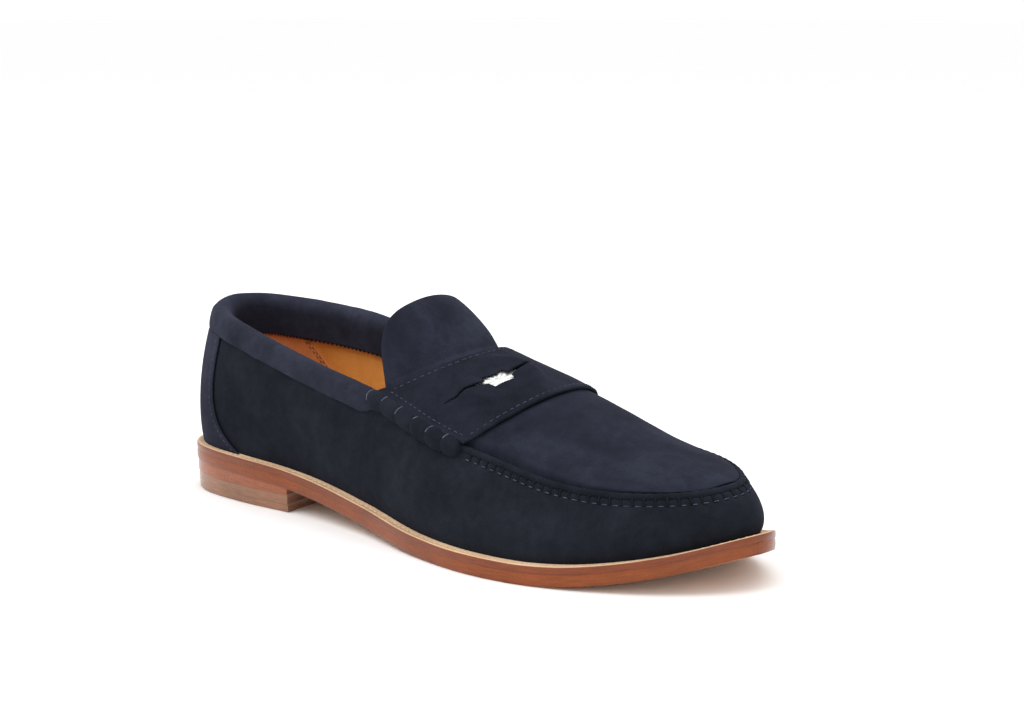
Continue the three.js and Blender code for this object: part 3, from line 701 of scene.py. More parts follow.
SOLE_EDGE = edge_leather("sole_edge", (106, 50, 20), (142, 72, 32), 0.3)
HEEL_EDGE = edge_leather("heel_edge", (122, 68, 42), (160, 94, 64), 0.24)
LIFT_EDGE = edge_leather("lift_edge", (118, 82, 62), (154, 112, 88), 0.2)
SOLE_FACE = leather("sole_face", (176, 122, 78), (204, 152, 104), 0.42, 0.4, 500)
RUBBER = crumb("heel_rubber", (30, 26, 24), (44, 39, 36), 1600)
CORK = crumb("cork", (120, 82, 48), (178, 132, 86), 600)
STIFFENER = crumb("stiffener", (176, 158, 128), (214, 198, 168), 900)
STEEL = metal("shank_steel", (128, 130, 134), (160, 163, 168), 0.35)
BRASS = metal("brass", (176, 146, 84), (206, 178, 112), 0.3)
SILVER = metal("coin_silver", (190, 193, 190), (226, 228, 224), 0.46, 2600)
NAVY_THREAD = thread("thread_navy", (40, 43, 57), (76, 80, 98))
# Near-black painted shade for the creases between the seam's gathers, drawn as thread tubes.
CREASE_PAINTED_SHADE = thread("crease_painted_shade", (12, 13, 17), (22, 24, 31))
PALE_THREAD = thread("thread_pale", (56, 60, 74), (104, 108, 122))
CREAM_THREAD = thread("thread_cream", (178, 152, 122), (216, 192, 162))
BROWN_THREAD = thread("thread_brown", (58, 34, 20), (96, 62, 38))


# ---- sole pieces
def plate(name, rows, cols, inset_at, low, high, rounding, materials, pick=None):
    """A plate inside the outline, its rows across the shoe from heel to toe."""
    i, j, quads = grid(rows, cols)
    s = (1 - np.cos(math.pi * i)) / 2 * 0.35 + 0.65 * i
    inset = inset_at(s)
    p = mix(outline_at(s * TOE_T, inset), outline_at(1 - s * (1 - TOE_T), inset), j[:, None])
    top, under = at_height(p, high), at_height(p, low)
    return sheet_object(name, top, under, quads, rounding, materials, 4, pick, 60)


def sole_level(height):
    return lambda x: sole_bottom(x) + height


def face_then_edge(quad_count, face_count):
    """Material 0 on the top and bottom faces, 1 on the rim."""
    chosen = np.ones(face_count, int)
    chosen[:2 * quad_count] = 0
    return chosen


SOCK_BOTTOM = SOLE + 2 * GAP + INSOLE
outsole = plate("sole_leather", 190, 14, lambda s: 0 * s, sole_level(0), sole_level(OUTSOLE + GAP), 0.35,
                [SOLE_FACE, SOLE_EDGE], face_then_edge)
sock = plate("sock_liner_leather", 90, 16, lambda s: SOCK_INSET + 0 * s, sole_level(SOCK_BOTTOM),
             sole_level(SOCK_BOTTOM + SOCK), 0.4, [INSOLE_TAN])

# Section of the welt from its inner foot over its top to its outer edge:
# (inset, height over the outsole's top).
WELT_TOP_LINE = [(WELT_WIDTH, 0.0), (WELT_WIDTH, WELT), (3.4, WELT), (2.9, WELT - 0.35), (2.1, WELT - 0.35),
                 (1.6, WELT - 0.02), (0.75, WELT - 0.03), (0.3, WELT - 0.25)]
WELT_EDGE_LINE = [(0.05, WELT - 0.6), (0.0, WELT * 0.5), (0.02, 0.3), (0.2, -0.1), (5.0, -0.1)]
# Length that the streaks of the welt's edge are spread over.
WELT_RUN = 700


def build_welt():
    line = WELT_TOP_LINE + WELT_EDGE_LINE
    rows, cols = 420, len(line)
    i = np.repeat(np.arange(rows) / rows, cols)
    inset, height = np.tile(line, (rows, 1)).T
    p = outline_at(1 - i, inset)
    p[:, 2] = sole_bottom(p[:, 0]) + OUTSOLE + GAP + height
    quads = quads_of(rows, cols, lambda x, y: x % rows * cols + y % cols)[:, [1, 2, 3, 0]]
    places = np.stack([WELT_RUN * i, height], -1)
    chosen = np.tile((np.arange(cols) >= len(WELT_TOP_LINE) - 1).astype(int), rows)
    return make_object("welt_leather", p, quads, [WELT_TOP, WELT_EDGE], places, chosen, 40)


WELT_STITCH_INSET = 2.5
WELT_STITCH_SINK = 0.28


def build_welt_stitches():
    t = np.linspace(0, 1, 1401)
    p = at_height(outline_at(t, WELT_STITCH_INSET), sole_level(SOLE - WELT_STITCH_SINK))
    up = np.tile([0.0, 0.0, 1.0], (len(t), 1))
    return make_object("welt_stitches", *stitches(p, up, 3.4, 2.6, 0.3), [CREAM_THREAD])


# ---- heel pieces
def heel_reach(inset, reach, direction):
    """Where round the outline the heel's side reaches that far forward."""
    t = direction * np.arange(0, 0.3, 0.0004)
    x = outline_at(t, inset)[:, 0]
    return np.interp(reach, np.maximum.accumulate(x), t)


def heel_layer(name, span, inset, low, high, materials):
    i, j, quads = grid(60, 10)
    share = mix(math.sqrt(span[0]), math.sqrt(span[1]), i) ** 2
    outer = outline_at(heel_reach(inset, share * HEEL_LENGTH, 1), inset)
    inner = outline_at(heel_reach(inset, share * (HEEL_LENGTH - BREAST_SKEW), -1), inset)
    p = mix(outer, inner, j[:, None])
    p[:, 0] -= BREAST_HOLLOW * 4 * j * (1 - j) * share ** 4
    top, under = at_height(p, high), at_height(p, low)
    return sheet_object(name, top, under, quads, 0.18, materials, 4, face_then_edge)


def level(z):
    return lambda x: 0 * x + z


# How far each layer of the heel stands inside the outline, and reaches into the one above.
WEDGE_INSET = 0.5
LIFT_INSET = 0.8
TOP_INSET = 1.1
HEEL_SINK = 0.2
LIFT_TOP = TOP_PIECE + GAP + HEEL_LIFT
rubber_share = RUBBER_LENGTH / HEEL_LENGTH
heel_wedge = heel_layer("heel_wedge_leather", (0, 1), WEDGE_INSET, level(LIFT_TOP), sole_level(HEEL_SINK),
                        [SOLE_FACE, HEEL_EDGE])
heel_lift = heel_layer("heel_lift_leather", (0, 1), LIFT_INSET, level(TOP_PIECE),
                       level(LIFT_TOP + HEEL_SINK), [SOLE_FACE, LIFT_EDGE])
top_leather = heel_layer("heel_top_leather", (rubber_share, 1), TOP_INSET, level(0),
                         level(TOP_PIECE + HEEL_SINK), [SOLE_FACE, LIFT_EDGE])
top_rubber = heel_layer("heel_top_rubber", (0, rubber_share), TOP_INSET, level(0),
                        level(TOP_PIECE + HEEL_SINK), [RUBBER, LIFT_EDGE])


# ---- upper pieces
PUCKER = 4.1
STITCH_DROP = 3.5
# The ribs between which the wall is gathered, its lip stands up and its seam is sewn.
GATHERED = (6.55, 15.45)
RIDGE = (6.12, 15.88)


def seam_length():
    """Length along the moccasin seam as a function of t."""
    t = np.linspace(0, 1, 2001)
    p = wall_at(t, 0, 0)
    run = np.concatenate([[0], np.cumsum(np.linalg.norm(np.diff(p, axis=0), axis=1))])
    return lambda x: np.interp(np.mod(x, 1.0), t, run)


seam_run = seam_length()


def on_seam(t):
    """1 along the moccasin seam, falling to 0 at its two ends."""
    rib = np.mod(t, 1.0) * RIB_COUNT
    low, high = GATHERED
    return smooth(rib, low - 0.25, low) * (1 - smooth(rib, high, high + 0.25))


def pucker(t):
    """Gathers along the seam: round bulges with narrow creases, 0 to 1."""
    return np.abs(np.sin(math.pi * seam_run(t) / PUCKER)) ** 0.7


def wall_face(t, drop):
    p = wall_at(t, drop, 0)
    band = smooth(drop, 0.4, 1.3) * (1 - smooth(drop, 2.9, 5.2))
    grooves = 0.45 * np.exp(-((drop - 0.7) / 0.45) ** 2) + 0.3 * np.exp(-((drop - STITCH_DROP) / 0.6) ** 2)
    gathers = on_seam(t) * (0.95 * band * (pucker(t) - 0.55) - grooves)
    soft = 0.16 * waves(p, 46, 11) + 0.05 * waves(p, 15, 12)
    return gathers + soft * smooth(drop, 2, 12)


# The wall's rows crowd along the seam, where the gathers are: shares of the rows, and ribs.
ROW_SHARES = [0, 0.12, 0.22, 0.8, 0.88, 1]
ROW_RIBS = np.array([4.4, 6.2, 15.8, 17.6])


def build_upper():
    i, j, quads = grid(760, 44)
    t = np.interp(i, ROW_SHARES, [SEAM, *(ROW_RIBS / RIB_COUNT), 1 - SEAM])
    drop = mix(wall_height(t) + 1.6, notch_drop(t), 1 - (1 - j) ** 1.6)
    face = wall_at(t, drop, wall_face(t, drop))
    return sheet_object("upper_suede", face, wall_at(t, drop, -LEATHER), quads, 0.6, [SUEDE])


def ridge_point(i, turn):
    """The gathered lip that stands along the moccasin seam."""
    t = mix(*RIDGE, i) / RIB_COUNT
    rise, out = wall_frame(t, 1 + 0 * t)
    girth = np.sqrt(np.clip(1 - np.abs(2 * i - 1) ** 60, 0.02, 1)) * (0.9 + 0.14 * pucker(t))
    p = wall_at(t, -0.7, -0.9) + scaled(rise, 1.35 * girth * np.sin(turn))
    return p + scaled(out, 1.45 * girth * np.cos(turn))


STITCHED = np.array([6.5, 15.5]) / RIB_COUNT


def seam_stitches():
    t = np.linspace(*STITCHED, 1800)
    rise, out = wall_frame(t, 1 + 0 * t)
    lower = stitches(wall_at(t, STITCH_DROP, 0.02), out, PUCKER, 2.1, 0.22)
    upper_row = stitches(wall_at(t, -1.75, -1.2), unit(rise + 0.5 * out), PUCKER, 2.2, 0.2)
    # The near-black tubes in the creases between gathers are painted shade in the dimples.
    creases = []
    first, last = (int(seam_run(end) // PUCKER) for end in STITCHED)
    for k in range(first + 1, last):
        at = np.interp(k * PUCKER, seam_run(t), t)
        down = np.linspace(-0.4, STITCH_DROP - 0.3, 7)
        line = wall_at(at + 0 * down, down, -0.25 + 0.25 * np.sin(np.linspace(0, math.pi, 7)))
        creases.append(tube(line, 0.34, wall_frame(at + 0 * down, 1 + 0 * down)[1]))
    dark = len(lower[1]) + len(upper_row[1])
    points, faces = join([lower, upper_row, *creases])
    chosen = (np.arange(len(faces)) >= dark).astype(int)
    return make_object("seam_stitches", points, faces, [NAVY_THREAD, CREASE_PAINTED_SHADE], None, chosen)


APRON_START = 0.05
APRON_TUCK = 1.8


def apron_sheet(name, end, top, thickness, material, rounding):
    i, j, quads = grid(170, 110)
    u = mix(APRON_START, end, i)
    side = 0.018 * (1 - smooth(u, 0.8, 0.92)) - 0.004
    w = mix(-side, 1 + side, j)
    tuck = APRON_TUCK * (1 - smooth(np.minimum(w, 1 - w), 0, 0.035)) * smooth(u, 0.2, 0.24)
    face = instep_at(u, w, 0)
    soft = 0.2 * waves(face, 50, 21) + 0.05 * waves(face, 14, 22)
    soft = soft * smooth(np.minimum(w, 1 - w), 0.02, 0.12) * smooth(u, 0.26, 0.34)
    height = soft - tuck - POCKET_DIP * pocket(u, w) - top
    under = instep_at(u, w, height - thickness)
    return sheet_object(name, instep_at(u, w, height), under, quads, rounding, [material])


apron = apron_sheet("apron_suede", 0.93, 0, APRON_LEATHER, APRON_SUEDE_PAINTED_LIGHT, 0.4)
apron_back = apron_sheet("apron_lining_leather", 0.88, APRON_LEATHER - 0.1, 0.9, TAN, 0.2)

SLIT_FROM, SLIT_TO = 0.08, 0.60
SLIT_Q = 0.47
STRAP_LENGTH = 44
WINDOW_HALF = 0.058


def slit_half(w):
    """Half the slit's opening, in millimetres: a narrow slit that gapes into the coin's window."""
    s = np.clip((w - SLIT_FROM) / (SLIT_TO - SLIT_FROM), 0, 1)
    slit = 0.62 * np.sqrt(np.clip(4 * s * (1 - s), 0, 1))
    gape = 0.75 * np.exp(-((w - COIN_W) / 0.12) ** 2)
    away = np.abs(w - COIN_W)
    window = 1 - smooth(away, WINDOW_HALF, WINDOW_HALF + 0.008)
    waist = 3.4 + 0.7 * (away / WINDOW_HALF) ** 2
    return np.maximum(slit + gape * (slit > 0.05), window * np.minimum(waist, 4)) * (slit > 0.01)


def coin_lift(under):
    """How far the strap is lifted to lie flat over the coin."""
    centre, _, _, normal = coin_frame()
    offset = under - centre
    height = offset @ normal
    reach = np.sqrt(np.maximum(0, (offset ** 2).sum(-1) - height ** 2))
    near = 1 - smooth(reach, COIN_RADIUS + COIN_SLIDE, COIN_RADIUS + 3 * COIN_SLIDE)
    return near * np.maximum(0, COIN_THICKNESS / 2 + GAP + 0.15 - height)


def strap_inner(q, w, height):
    u = mix(STRAP_REAR, STRAP_FRONT, q)
    return instep_at(u, w, height + coin_lift(instep_at(u, w, 2 * GAP)))


STRAP_SIDE = 0.05
ROLL_TURN = math.radians(60)


def strap_side(q, share, height, side):
    """The strap's end, which bends over the side and lies on the roll. share runs from 0 to 1."""
    w = STRAP_SIDE if side < 0 else 1 - STRAP_SIDE
    step = -0.01 * side
    start = strap_inner(q, w + 0 * q, height)
    leaving = unit(start - strap_inner(q, w + step + 0 * q, height))
    u = mix(STRAP_REAR, STRAP_FRONT, q)
    t = outer_t(u) if side < 0 else inner_t(u)
    rise, out = wall_frame(t, 1 + 0 * t)
    radius = ROLL_BULK + height - 2 * GAP - STRAP_LEATHER - 0.15
    end = wall_at(t, ROLL_DROP, 0) + scaled(out, radius * math.cos(ROLL_TURN))
    end = end + scaled(rise, radius * math.sin(ROLL_TURN))
    arriving = out * math.sin(ROLL_TURN) - rise * math.cos(ROLL_TURN)
    reach = 0.36 * np.linalg.norm(end - start, axis=-1)
    return cubic((start, start + scaled(leaving, reach), end - scaled(arriving, reach), end), share)


def strap_point(q, w, height):
    q, w, height = np.broadcast_arrays(np.asarray(q, float), w, height)
    middle = strap_inner(q, np.clip(w, STRAP_SIDE, 1 - STRAP_SIDE), height)
    for side, share in ((-1, (STRAP_SIDE - w) / STRAP_SIDE), (1, (w - 1 + STRAP_SIDE) / STRAP_SIDE)):
        beyond = share > 0
        if beyond.any():
            middle[beyond] = strap_side(q[beyond], share[beyond], height[beyond], side)
    return middle


def build_strap():
    """The strap's grid is split along the slit; the two lips are joined outside it."""
    rows, cols, cut = 48, 240, 24
    w_line = np.arange(cols + 1) / cols
    open_q = slit_half(w_line) / STRAP_LENGTH
    q_rear = np.linspace(0, 1, cut + 1)[:, None] ** 0.85 * (SLIT_Q - open_q)[None, :]
    share = np.linspace(0, 1, rows - cut + 1)[:, None]
    q_front = (SLIT_Q + open_q)[None, :] + share ** 1.15 * (1 - SLIT_Q - open_q)[None, :]
    ids_rear = np.arange((cut + 1) * (cols + 1)).reshape(cut + 1, cols + 1)
    ids_front = ids_rear.size + np.arange((rows - cut + 1) * (cols + 1)).reshape(rows - cut + 1, cols + 1)
    shut = open_q <= 0
    ids_front[0, shut] = ids_rear[-1, shut]
    q = np.concatenate([q_rear.ravel(), q_front.ravel()])
    w = np.tile(w_line, len(q) // (cols + 1))
    quads = np.vstack([quads_of(len(ids) - 1, cols, lambda x, y: ids[x, y])
                       for ids in (ids_rear, ids_front)])
    from_slit = np.abs(q - SLIT_Q) * STRAP_LENGTH
    lip = np.exp(-from_slit / 2.6) * smooth(slit_half(w), 0.2, 1.2)
    face = strap_point(q, w, 0)
    soft = 0.12 * waves(face, 30, 31) + 0.04 * waves(face, 11, 32)
    high = 2 * GAP + STRAP_LEATHER + soft
    by_coin = 1 - smooth(np.abs(w - COIN_W), WINDOW_HALF - 0.01, WINDOW_HALF + 0.06)
    skived = 0.75 * by_coin * (1 - smooth(from_slit, 4, 11))
    curl = 0.3 * lip * (1 - by_coin)
    top = strap_point(q, w, high - skived + curl)
    under = strap_point(q, w, high + curl - STRAP_LEATHER)
    used, compact = np.unique(quads, return_inverse=True)
    quads = compact.reshape(quads.shape)
    return sheet_object("strap_suede", top[used], under[used], quads, 0.3, [STRAP_SUEDE])


def strap_line(q, w):
    height = 2 * GAP + STRAP_LEATHER
    p = strap_point(q, w, height)
    return p, unit(strap_point(q, w, height + 1) - p)


def strap_stitches():
    w = np.linspace(0.03, 0.97, 500)
    rows = [stitches(*strap_line(0 * w + q, w), 2.9, 2, 0.19) for q in (0.055, 0.945)]
    q = np.linspace(0.07, 0.93, 200)
    rows += [stitches(*strap_line(q, 0 * q + side), 2.9, 2, 0.19) for side in (0.022, 0.978)]
    return make_object("strap_stitches", *join(rows), [NAVY_THREAD])


# ---- beef rolls
SIDES = {"outer": outer_t, "inner": inner_t}
ROLL_ENDS = (ROLL_REAR - 0.03, ROLL_FRONT - 0.004)
WRAP_STARTS = (-0.5, 0.5, 0.1, 0.7, 0.2, 0.4)
WRAP_END = 1.9


def roll_t(side, i):
    """Place round the wall of a share of the roll's length."""
    ends = sorted(SIDES[side](u) for u in ROLL_ENDS)
    return mix(ends[0], ends[1], i)


def roll_point(t, i, turn, extra=0.0):
    bulge = 0.84 + 0.2 * np.abs(np.sin(i * WRAPS * math.pi)) ** 0.6
    ends = np.sqrt(np.clip(1 - (2 * i - 1) ** 14, 0.05, 1))
    radius = ROLL_BULK * bulge * ends + extra
    rise, out = wall_frame(t, 1 + 0 * t)
    p = wall_at(t, ROLL_DROP, 0) + scaled(out, radius * np.cos(turn))
    return p + scaled(rise, radius * np.sin(turn))


def build_roll(side):
    def point(i, turn):
        t = roll_t(side, i)
        p = roll_point(t, i, turn)
        return p + scaled(unit(p - wall_at(t, ROLL_DROP, 0)), 0.12 * waves(p, 9, 41))
    return rod(f"beefroll_suede_{side}", 120, 24, point)


def roll_wraps(side):
    parts = []
    for k, start in enumerate(WRAP_STARTS):
        turn = np.linspace(start, WRAP_END, 22)
        i = np.clip((k + 0.12) / WRAPS + 0.012 * (turn - 1), 0.02, 0.98)
        t = roll_t(side, i)
        p = roll_point(t, i, turn, 0.1)
        parts.append(tube(p, 0.2, unit(p - wall_at(t, ROLL_DROP, 0))))
    return make_object(f"beefroll_thread_{side}", *join(parts), [PALE_THREAD])


# ---- collar, backstay and linings
# Sections of the collar's two faces: (drop below the wall's top edge, distance out from the wall).
COLLAR_OUTER = [
    (12.2, 0.4), (11.4, 1.2), (9, 1.7), (5.5, 1.9), (2.2, 1.8), (0, 1.4), (-1.5, 0.1), (-2.2, -2.4),
    (-1.7, -5.2), (0, -7), (3.5, -7.7), (9, -7.5), (14, -7), (FACING_DROP, -6.6),
]
COLLAR_INNER = [
    *((drop, GAP) for drop in (12.2, 11, 9, 5.5, 2.5, 0.3)), (-0.3, -0.3), (-0.8, -2.4), (-0.5, -4.5),
    (1, -5.8), (4, -6.1), (9, -6), (14, -5.6), (FACING_DROP, -5.4),
]
BAND = 12.2
COLLAR_REACH = 5.1
COLLAR_REACH_INNER = RIB_COUNT - 16.9
TOOTH = 1.5


def build_collar():
    rows, cols = 260, 44
    i, j, quads = grid(rows, cols)
    rib = (2 * i - 1) * COLLAR_REACH
    rib = np.where(rib < 0, rib * COLLAR_REACH_INNER / COLLAR_REACH, rib)
    t = rib / RIB_COUNT
    ending = np.where(rib > 0, smooth(rib, 4.4, 5.05), smooth(-rib, 5.4, 6.05))
    tip = np.where(rib > 0, smooth(rib, 4.8, 5.08), smooth(-rib, 5.8, 6.08))
    steps = np.linspace(0, 1, cols + 1)
    lines = [open_curve([(a, b, 0) for a, b in line])(steps) for line in (COLLAR_OUTER, COLLAR_INNER)]
    k = np.round(j * cols).astype(int)
    teeth = TOOTH * (np.round(i * rows).astype(int) % 2) * (k == cols)
    crest = int(np.argmin(lines[0][:, 0]))
    faces = []
    for line, soft, limit in ((lines[0], 0.16, -3.4), (lines[1], 0.0, -2.4)):
        drop, out = line[k, 0] - teeth, line[k, 1]
        drop = np.where((k < crest) & (drop > 0), drop * mix(band_drop(t), 4.5, tip) / BAND, drop)
        drop = np.where(k > crest, mix(drop, np.minimum(drop, 8), ending), drop)
        out = mix(out, np.maximum(out, limit), ending)
        p = wall_at(t, drop, out)
        puff = soft * (waves(p, 26, 51) + 0.5 * waves(p, 9, 52)) * smooth(12.5 - np.abs(drop), 0.5, 5)
        faces.append(wall_at(t, drop, out + puff * np.where(out > -2, 1, -1)))
    return sheet_object("collar_suede", *faces, quads, 0.25, [COLLAR_SUEDE_PAINTED_LIGHT], 3)


collar = build_collar()


def backstay_half(j):
    return (2.18 + 0.65 * (1 - j) ** 4) / RIB_COUNT


def backstay_drop(t, j):
    return mix(wall_height(t) + 0.3, band_drop(t) - 0.6, j)


def build_backstay():
    i, j, quads = grid(90, 60)
    t = (2 * i - 1) * backstay_half(j)
    drop = backstay_drop(t, j)
    soft = 0.1 * waves(wall_at(t, drop, 0), 30, 61)
    face = wall_at(t, drop, 1.4 + soft)
    return sheet_object("backstay_suede", face, wall_at(t, drop, 0.5), quads, 0.5, [COLLAR_SUEDE_PAINTED_LIGHT])


def backstay_stitches():
    rows = []
    j = np.linspace(0.02, 0.97, 200)
    for side in (-1, 1):
        t = side * (backstay_half(j) - 0.075 / RIB_COUNT)
        p = wall_at(t, backstay_drop(t, j), 1.45)
        rows.append(stitches(p, wall_frame(t, 1 - 0 * t)[1], 2.6, 1.8, 0.17))
    return make_object("backstay_stitches", *join(rows), [NAVY_THREAD])


def lining(name, span, depth, drop, thickness, material, slant=0.0):
    """A lining on the inside of the wall. slant leans its two ends outwards at the top, in ribs."""
    i, j, quads = grid(110, 30)
    t = (mix(span[0], span[1], i) + slant * (j - 0.5) * (2 * i - 1)) / RIB_COUNT
    down = mix(wall_height(t) - LINING_FOOT, drop + notch_drop(t) * (drop < LINING_DROP), j)
    soft = 0.12 * waves(wall_at(t, down, 0), 34, 71)
    front = wall_at(t, down, depth + soft)
    back = wall_at(t, down, depth - thickness + soft)
    return sheet_object(name, front, back, quads, 0.25, [material], 3)


GRIP = (-2.75, 2.75)
GRIP_SLANT = -1.6
linings = [
    lining("lining_outer", (1.5, 6.3), LAYER_1, LINING_DROP, 1.1, TAN),
    lining("lining_inner", (15.7, 21.5), LAYER_1, LINING_DROP, 1.1, TAN),
    lining("lining_heel", GRIP, LAYER_1 - 0.6, LINING_DROP, 1.3, BROWN, GRIP_SLANT),
    lining("lining_vamp", (5.9, 16.1), LAYER_2, 3, 1.0, TAN),
]


def lining_stitches():
    """Two rows along each end of the heel grip."""
    j = np.linspace(0.03, 0.97, 160)
    rows = []
    for side in (-1, 1):
        for inset in (0.05, 0.12):
            t = side * (GRIP[1] + GRIP_SLANT * (j - 0.5) - inset) / RIB_COUNT
            down = mix(wall_height(t) - LINING_FOOT, LINING_DROP, j)
            inward = -wall_frame(t, 1 - down / wall_height(t))[1]
            rows.append(stitches(wall_at(t, down, LAYER_1 - 1.95), inward, 2.6, 1.9, 0.2))
    return make_object("lining_stitches", *join(rows), [BROWN_THREAD])


# ---- coin and tongue
def coin_relief(r, turn):
    """Generic relief: raised rim, a ring of beads, a twelve-leaf rosette and a fine ground."""
    rim = 0.2 * smooth(r, 0.9, 0.94)
    beads = 0.12 * np.exp(-((r - 0.83) / 0.03) ** 2) * (0.5 + 0.5 * np.cos(48 * turn))
    leaves = np.abs(np.cos(6 * turn)) ** 1.5 * smooth(r, 0.12, 0.3) * (1 - smooth(r, 0.6, 0.74))
    boss = 0.22 * (1 - smooth(r, 0.08, 0.2))
    return rim + beads + 0.22 * leaves + boss


def build_coin():
    centre, x, y, normal = coin_frame()
    rings, sides = 40, 144
    round_turn = np.arange(sides) * 2 * math.pi / sides
    r, turn = np.meshgrid(np.linspace(0, 0.985, rings + 1), round_turn, indexing="ij")
    z = (COIN_THICKNESS / 2 - 0.26 + coin_relief(r, turn)).ravel()
    reed = np.full(sides, COIN_THICKNESS / 2 - 0.12)
    r = np.concatenate([r.ravel(), r.ravel(), np.ones(2 * sides)])
    turn = np.concatenate([turn.ravel(), turn.ravel(), round_turn, round_turn])
    z = np.concatenate([z, -z, reed, -reed])
    points = centre + scaled(x, COIN_RADIUS * r * np.cos(turn)) + scaled(y, COIN_RADIUS * r * np.sin(turn))
    points = points + scaled(normal, z)
    size = (rings + 1) * sides
    top = ring_quads(rings, sides)
    faces = top.tolist() + (top[:, ::-1] + size).tolist()
    chain = [rings * sides, 2 * size, 2 * size + sides, size + rings * sides]
    k = np.arange(sides)
    following = (k + 1) % sides
    for first, second in zip(chain, chain[1:]):
        faces += np.stack([first + k, second + k, second + following, first + following], -1).tolist()
    return make_object("coin_metal", points, faces, [SILVER], None, None, 40)


def tongue_sheet(name, high, low, span, material, rounding):
    i, j, quads = grid(90, 70)
    side = 1 - 2 * j
    r = mix(span[0], span[1], 1 - (1 - i) ** 1.4)
    soft = 0.16 * waves(tongue_point(r, side, high), 30, 81) * smooth(r, 0.05, 0.3)
    free = [tongue_point(r, side, height + soft) for height in (high, low)]
    return sheet_object(name, *free, quads, rounding, [material])


tongue = tongue_sheet("tongue_suede", 0, -TONGUE_LEATHER, (0, 1), APRON_SUEDE_PAINTED_LIGHT, 0.5)
tongue_back = tongue_sheet("tongue_lining_leather", -TONGUE_LEATHER - 0.25, -TONGUE_LEATHER - 1.5,
                           (0.03, 0.97), TAN, 0.4)

# The tongue's root: shares of the instep and of the tongue it covers, of its width, and its two faces.
ROOT_UNDER = 0.045
ROOT_OVER = 0.09
ROOT_WIDTH = 0.985
ROOT_FACES = (-0.35, -1.45)
ROOT_BEND = (-0.6, 0.9)


def build_tongue_root():
    """The strip that joins the tongue to the instep under the strap."""
    i, j, quads = grid(26, 90)
    side = (1 - 2 * j) * ROOT_WIDTH
    w = 0.5 + side * TONGUE_DRAFT
    both = []
    for height in ROOT_FACES:
        under = instep_at(ROOT_UNDER + 0 * w, w, height)
        edge = instep_at(0 * w, w, height)
        over = tongue_point(ROOT_OVER + 0 * w, side, height)
        root = 0.5 * (edge + tongue_point(0 * w, side, height))
        both.append(scaled(under, (1 - i) ** 2) + scaled(root, 2 * i * (1 - i)) + scaled(over, i ** 2))
    return sheet_object("tongue_root_suede", *both, quads, 0.3, [APRON_SUEDE_PAINTED_LIGHT], 3)


def root_bend():
    """Two points off the instep's crest along its normal, at the ROOT_BEND distances, in the row frame."""
    left, crest, right = (instep_point(0, 0.5 + side * TONGUE_DRAFT) for side in (-1, 0, 1))
    normal = unit(np.cross(crest - left, right - left))
    return [tuple(float(x) for x in row_frame(crest + away * normal)) for away in ROOT_BEND]


tongue_root = build_tongue_root()


# ---- what rides on what
def put(obj, slot, *nodes, body="shoe"):
    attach(obj, body)
    if nodes:
        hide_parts(*nodes)


put(outsole, "sole_leather", "outsole")
put(build_welt(), "welt_leather", "welt")
put(build_welt_stitches(), "welt_leather")
put(sock, "insole_leather", "sock_liner")
put(heel_wedge, "heel_leather", "heel_wedge_lift")
put(heel_lift, "heel_leather", "heel_lift")
put(top_leather, "heel_leather", "top_piece_leather")
put(top_rubber, "heel_rubber", "top_piece_rubber")
put(build_upper(), "suede", "upper_wall")
put(rod("seam_ridge_suede", 900, 12, ridge_point), "suede")
put(seam_stitches(), "suede")
put(apron, "apron_suede", "apron")
put(apron_back, "lining_leather", "apron_lining")
put(build_strap(), "apron_suede", "saddle_strap")
put(strap_stitches(), "apron_suede")
for side in SIDES:
    put(build_roll(side), "suede", f"beefroll_{side}")
for side in SIDES:
    put(roll_wraps(side), "suede")
put(collar, "suede", "topline_collar", "collar_padding")
put(build_backstay(), "suede", "backstay")
put(backstay_stitches(), "suede")
put(lining_stitches(), "heel_grip_leather")
put(linings[0], "lining_leather", "quarter_lining_outer")
put(linings[1], "lining_leather", "quarter_lining_inner")
put(linings[2], "heel_grip_leather", "heel_lining")
put(linings[3], "lining_leather", "vamp_lining")
put(build_coin(), "coin_metal", "coin", body="coin")
bend_from, bend_to = root_bend()
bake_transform(tongue_root)
put(tongue, "apron_suede", "tongue", body="tongue")
put(tongue_back, "lining_leather", "tongue_lining", body="tongue")

KEPT = {
    "cork_filler": CORK, "shank": STEEL, "insole": INSOLE_TAN, "heel_counter": STIFFENER,
    "toe_puff": STIFFENER, **{f"heel_pin_{number}": BRASS for number in range(1, 6)},
}
for name, material in KEPT.items():
    slots = frame["nodes"][name].data.materials
    slots.clear()
    slots.append(material)


# ---- floor, light and camera
FLOOR_HALF = 30.0


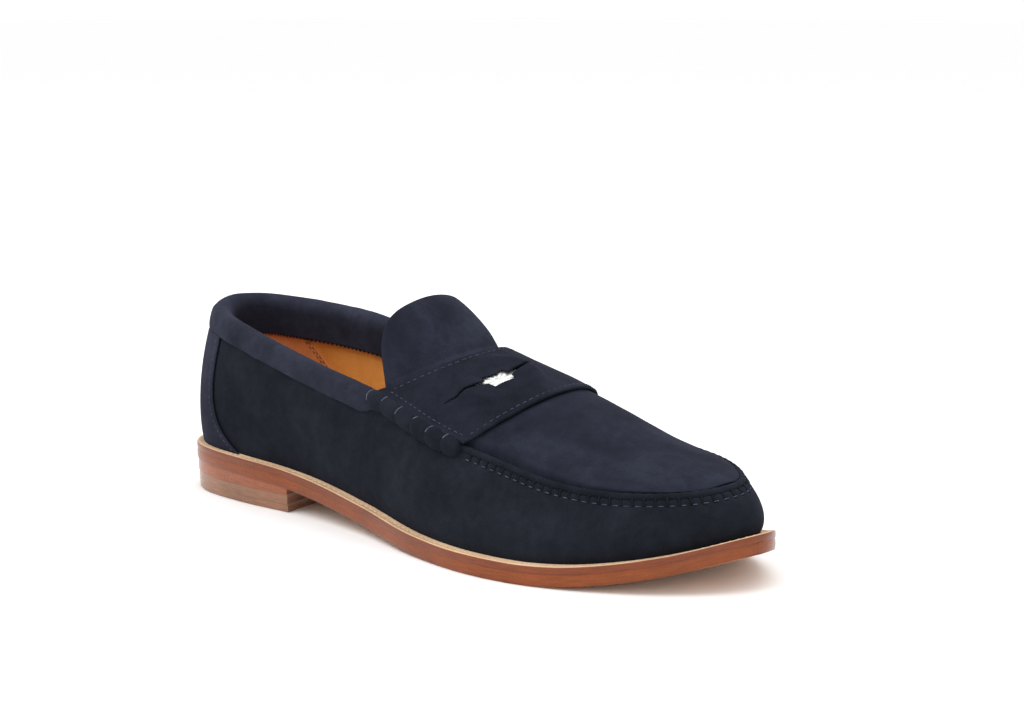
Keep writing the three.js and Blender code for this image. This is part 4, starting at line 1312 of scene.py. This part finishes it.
def floor():
    material, tree, shader = new_material("floor_paper", 0.9, 0.1)
    speck = noise(tree, coordinates(tree), 60, 3)
    tree.links.new(greys(tree, speck, 0.87, 0.89), shader.inputs["Base Color"])
    mesh = bpy.data.meshes.new("floor")
    corners = [(x * FLOOR_HALF, y * FLOOR_HALF, 0) for x, y in ((-1, -1), (1, -1), (1, 1), (-1, 1))]
    mesh.from_pydata(corners, [], [(0, 1, 2, 3)])
    mesh.materials.append(material)
    obj = add_object("floor", mesh)
    obj.location.z = -0.0002


def area_light(name, place, target, size, power):
    data = bpy.data.lights.new(name, "AREA")
    data.shape = "RECTANGLE"
    data.size = data.size_y = size
    data.energy = power
    obj = add_object(name, data)
    obj.location = place
    obj.rotation_euler = (Vector(target) - Vector(place)).to_track_quat("-Z", "Y").to_euler()


def world(strength):
    made = bpy.data.worlds.new("studio")
    made.use_nodes = True
    made.node_tree.nodes["Background"].inputs["Color"].default_value = (1, 1, 1, 1)
    made.node_tree.nodes["Background"].inputs["Strength"].default_value = strength
    bpy.context.scene.world = made


AZIMUTH, ELEVATION = math.radians(44.997), math.radians(8.875)
CAMERA_DISTANCE = 0.901187
CAMERA_SHIFT = (0.021866, 0.027743)
CAMERA_TARGET = (0, -0.0017, 0.04)
LENS = 79.26


def camera():
    back = Vector((math.sin(AZIMUTH) * math.cos(ELEVATION), -math.cos(AZIMUTH) * math.cos(ELEVATION),
                   math.sin(ELEVATION)))
    right = Vector((math.cos(AZIMUTH), math.sin(AZIMUTH), 0))
    up = back.cross(right)
    data = bpy.data.cameras.new("camera")
    data.lens = LENS
    data.sensor_width = 36
    data.sensor_fit = "HORIZONTAL"
    data.clip_start, data.clip_end = 0.01, 100
    obj = add_object("camera", data)
    place = Vector(CAMERA_TARGET) + right * CAMERA_SHIFT[0] + up * CAMERA_SHIFT[1] + back * CAMERA_DISTANCE
    turn = Matrix((right, up, back)).transposed().to_4x4()
    obj.matrix_world = Matrix.Translation(place) @ turn
    bpy.context.scene.camera = obj


floor()
world(1.12)
area_light("key", (-0.5, -1.0, 1.5), (0, 0, 0.03), 1.2, 11)
area_light("top", (0.2, 0.3, 1.7), (0, 0, 0), 1.6, 12)
area_light("front", (1.4, -0.9, 0.6), (0, 0, 0.03), 0.9, 2.5)
camera()
bpy.context.scene.view_settings.view_transform = "Standard"
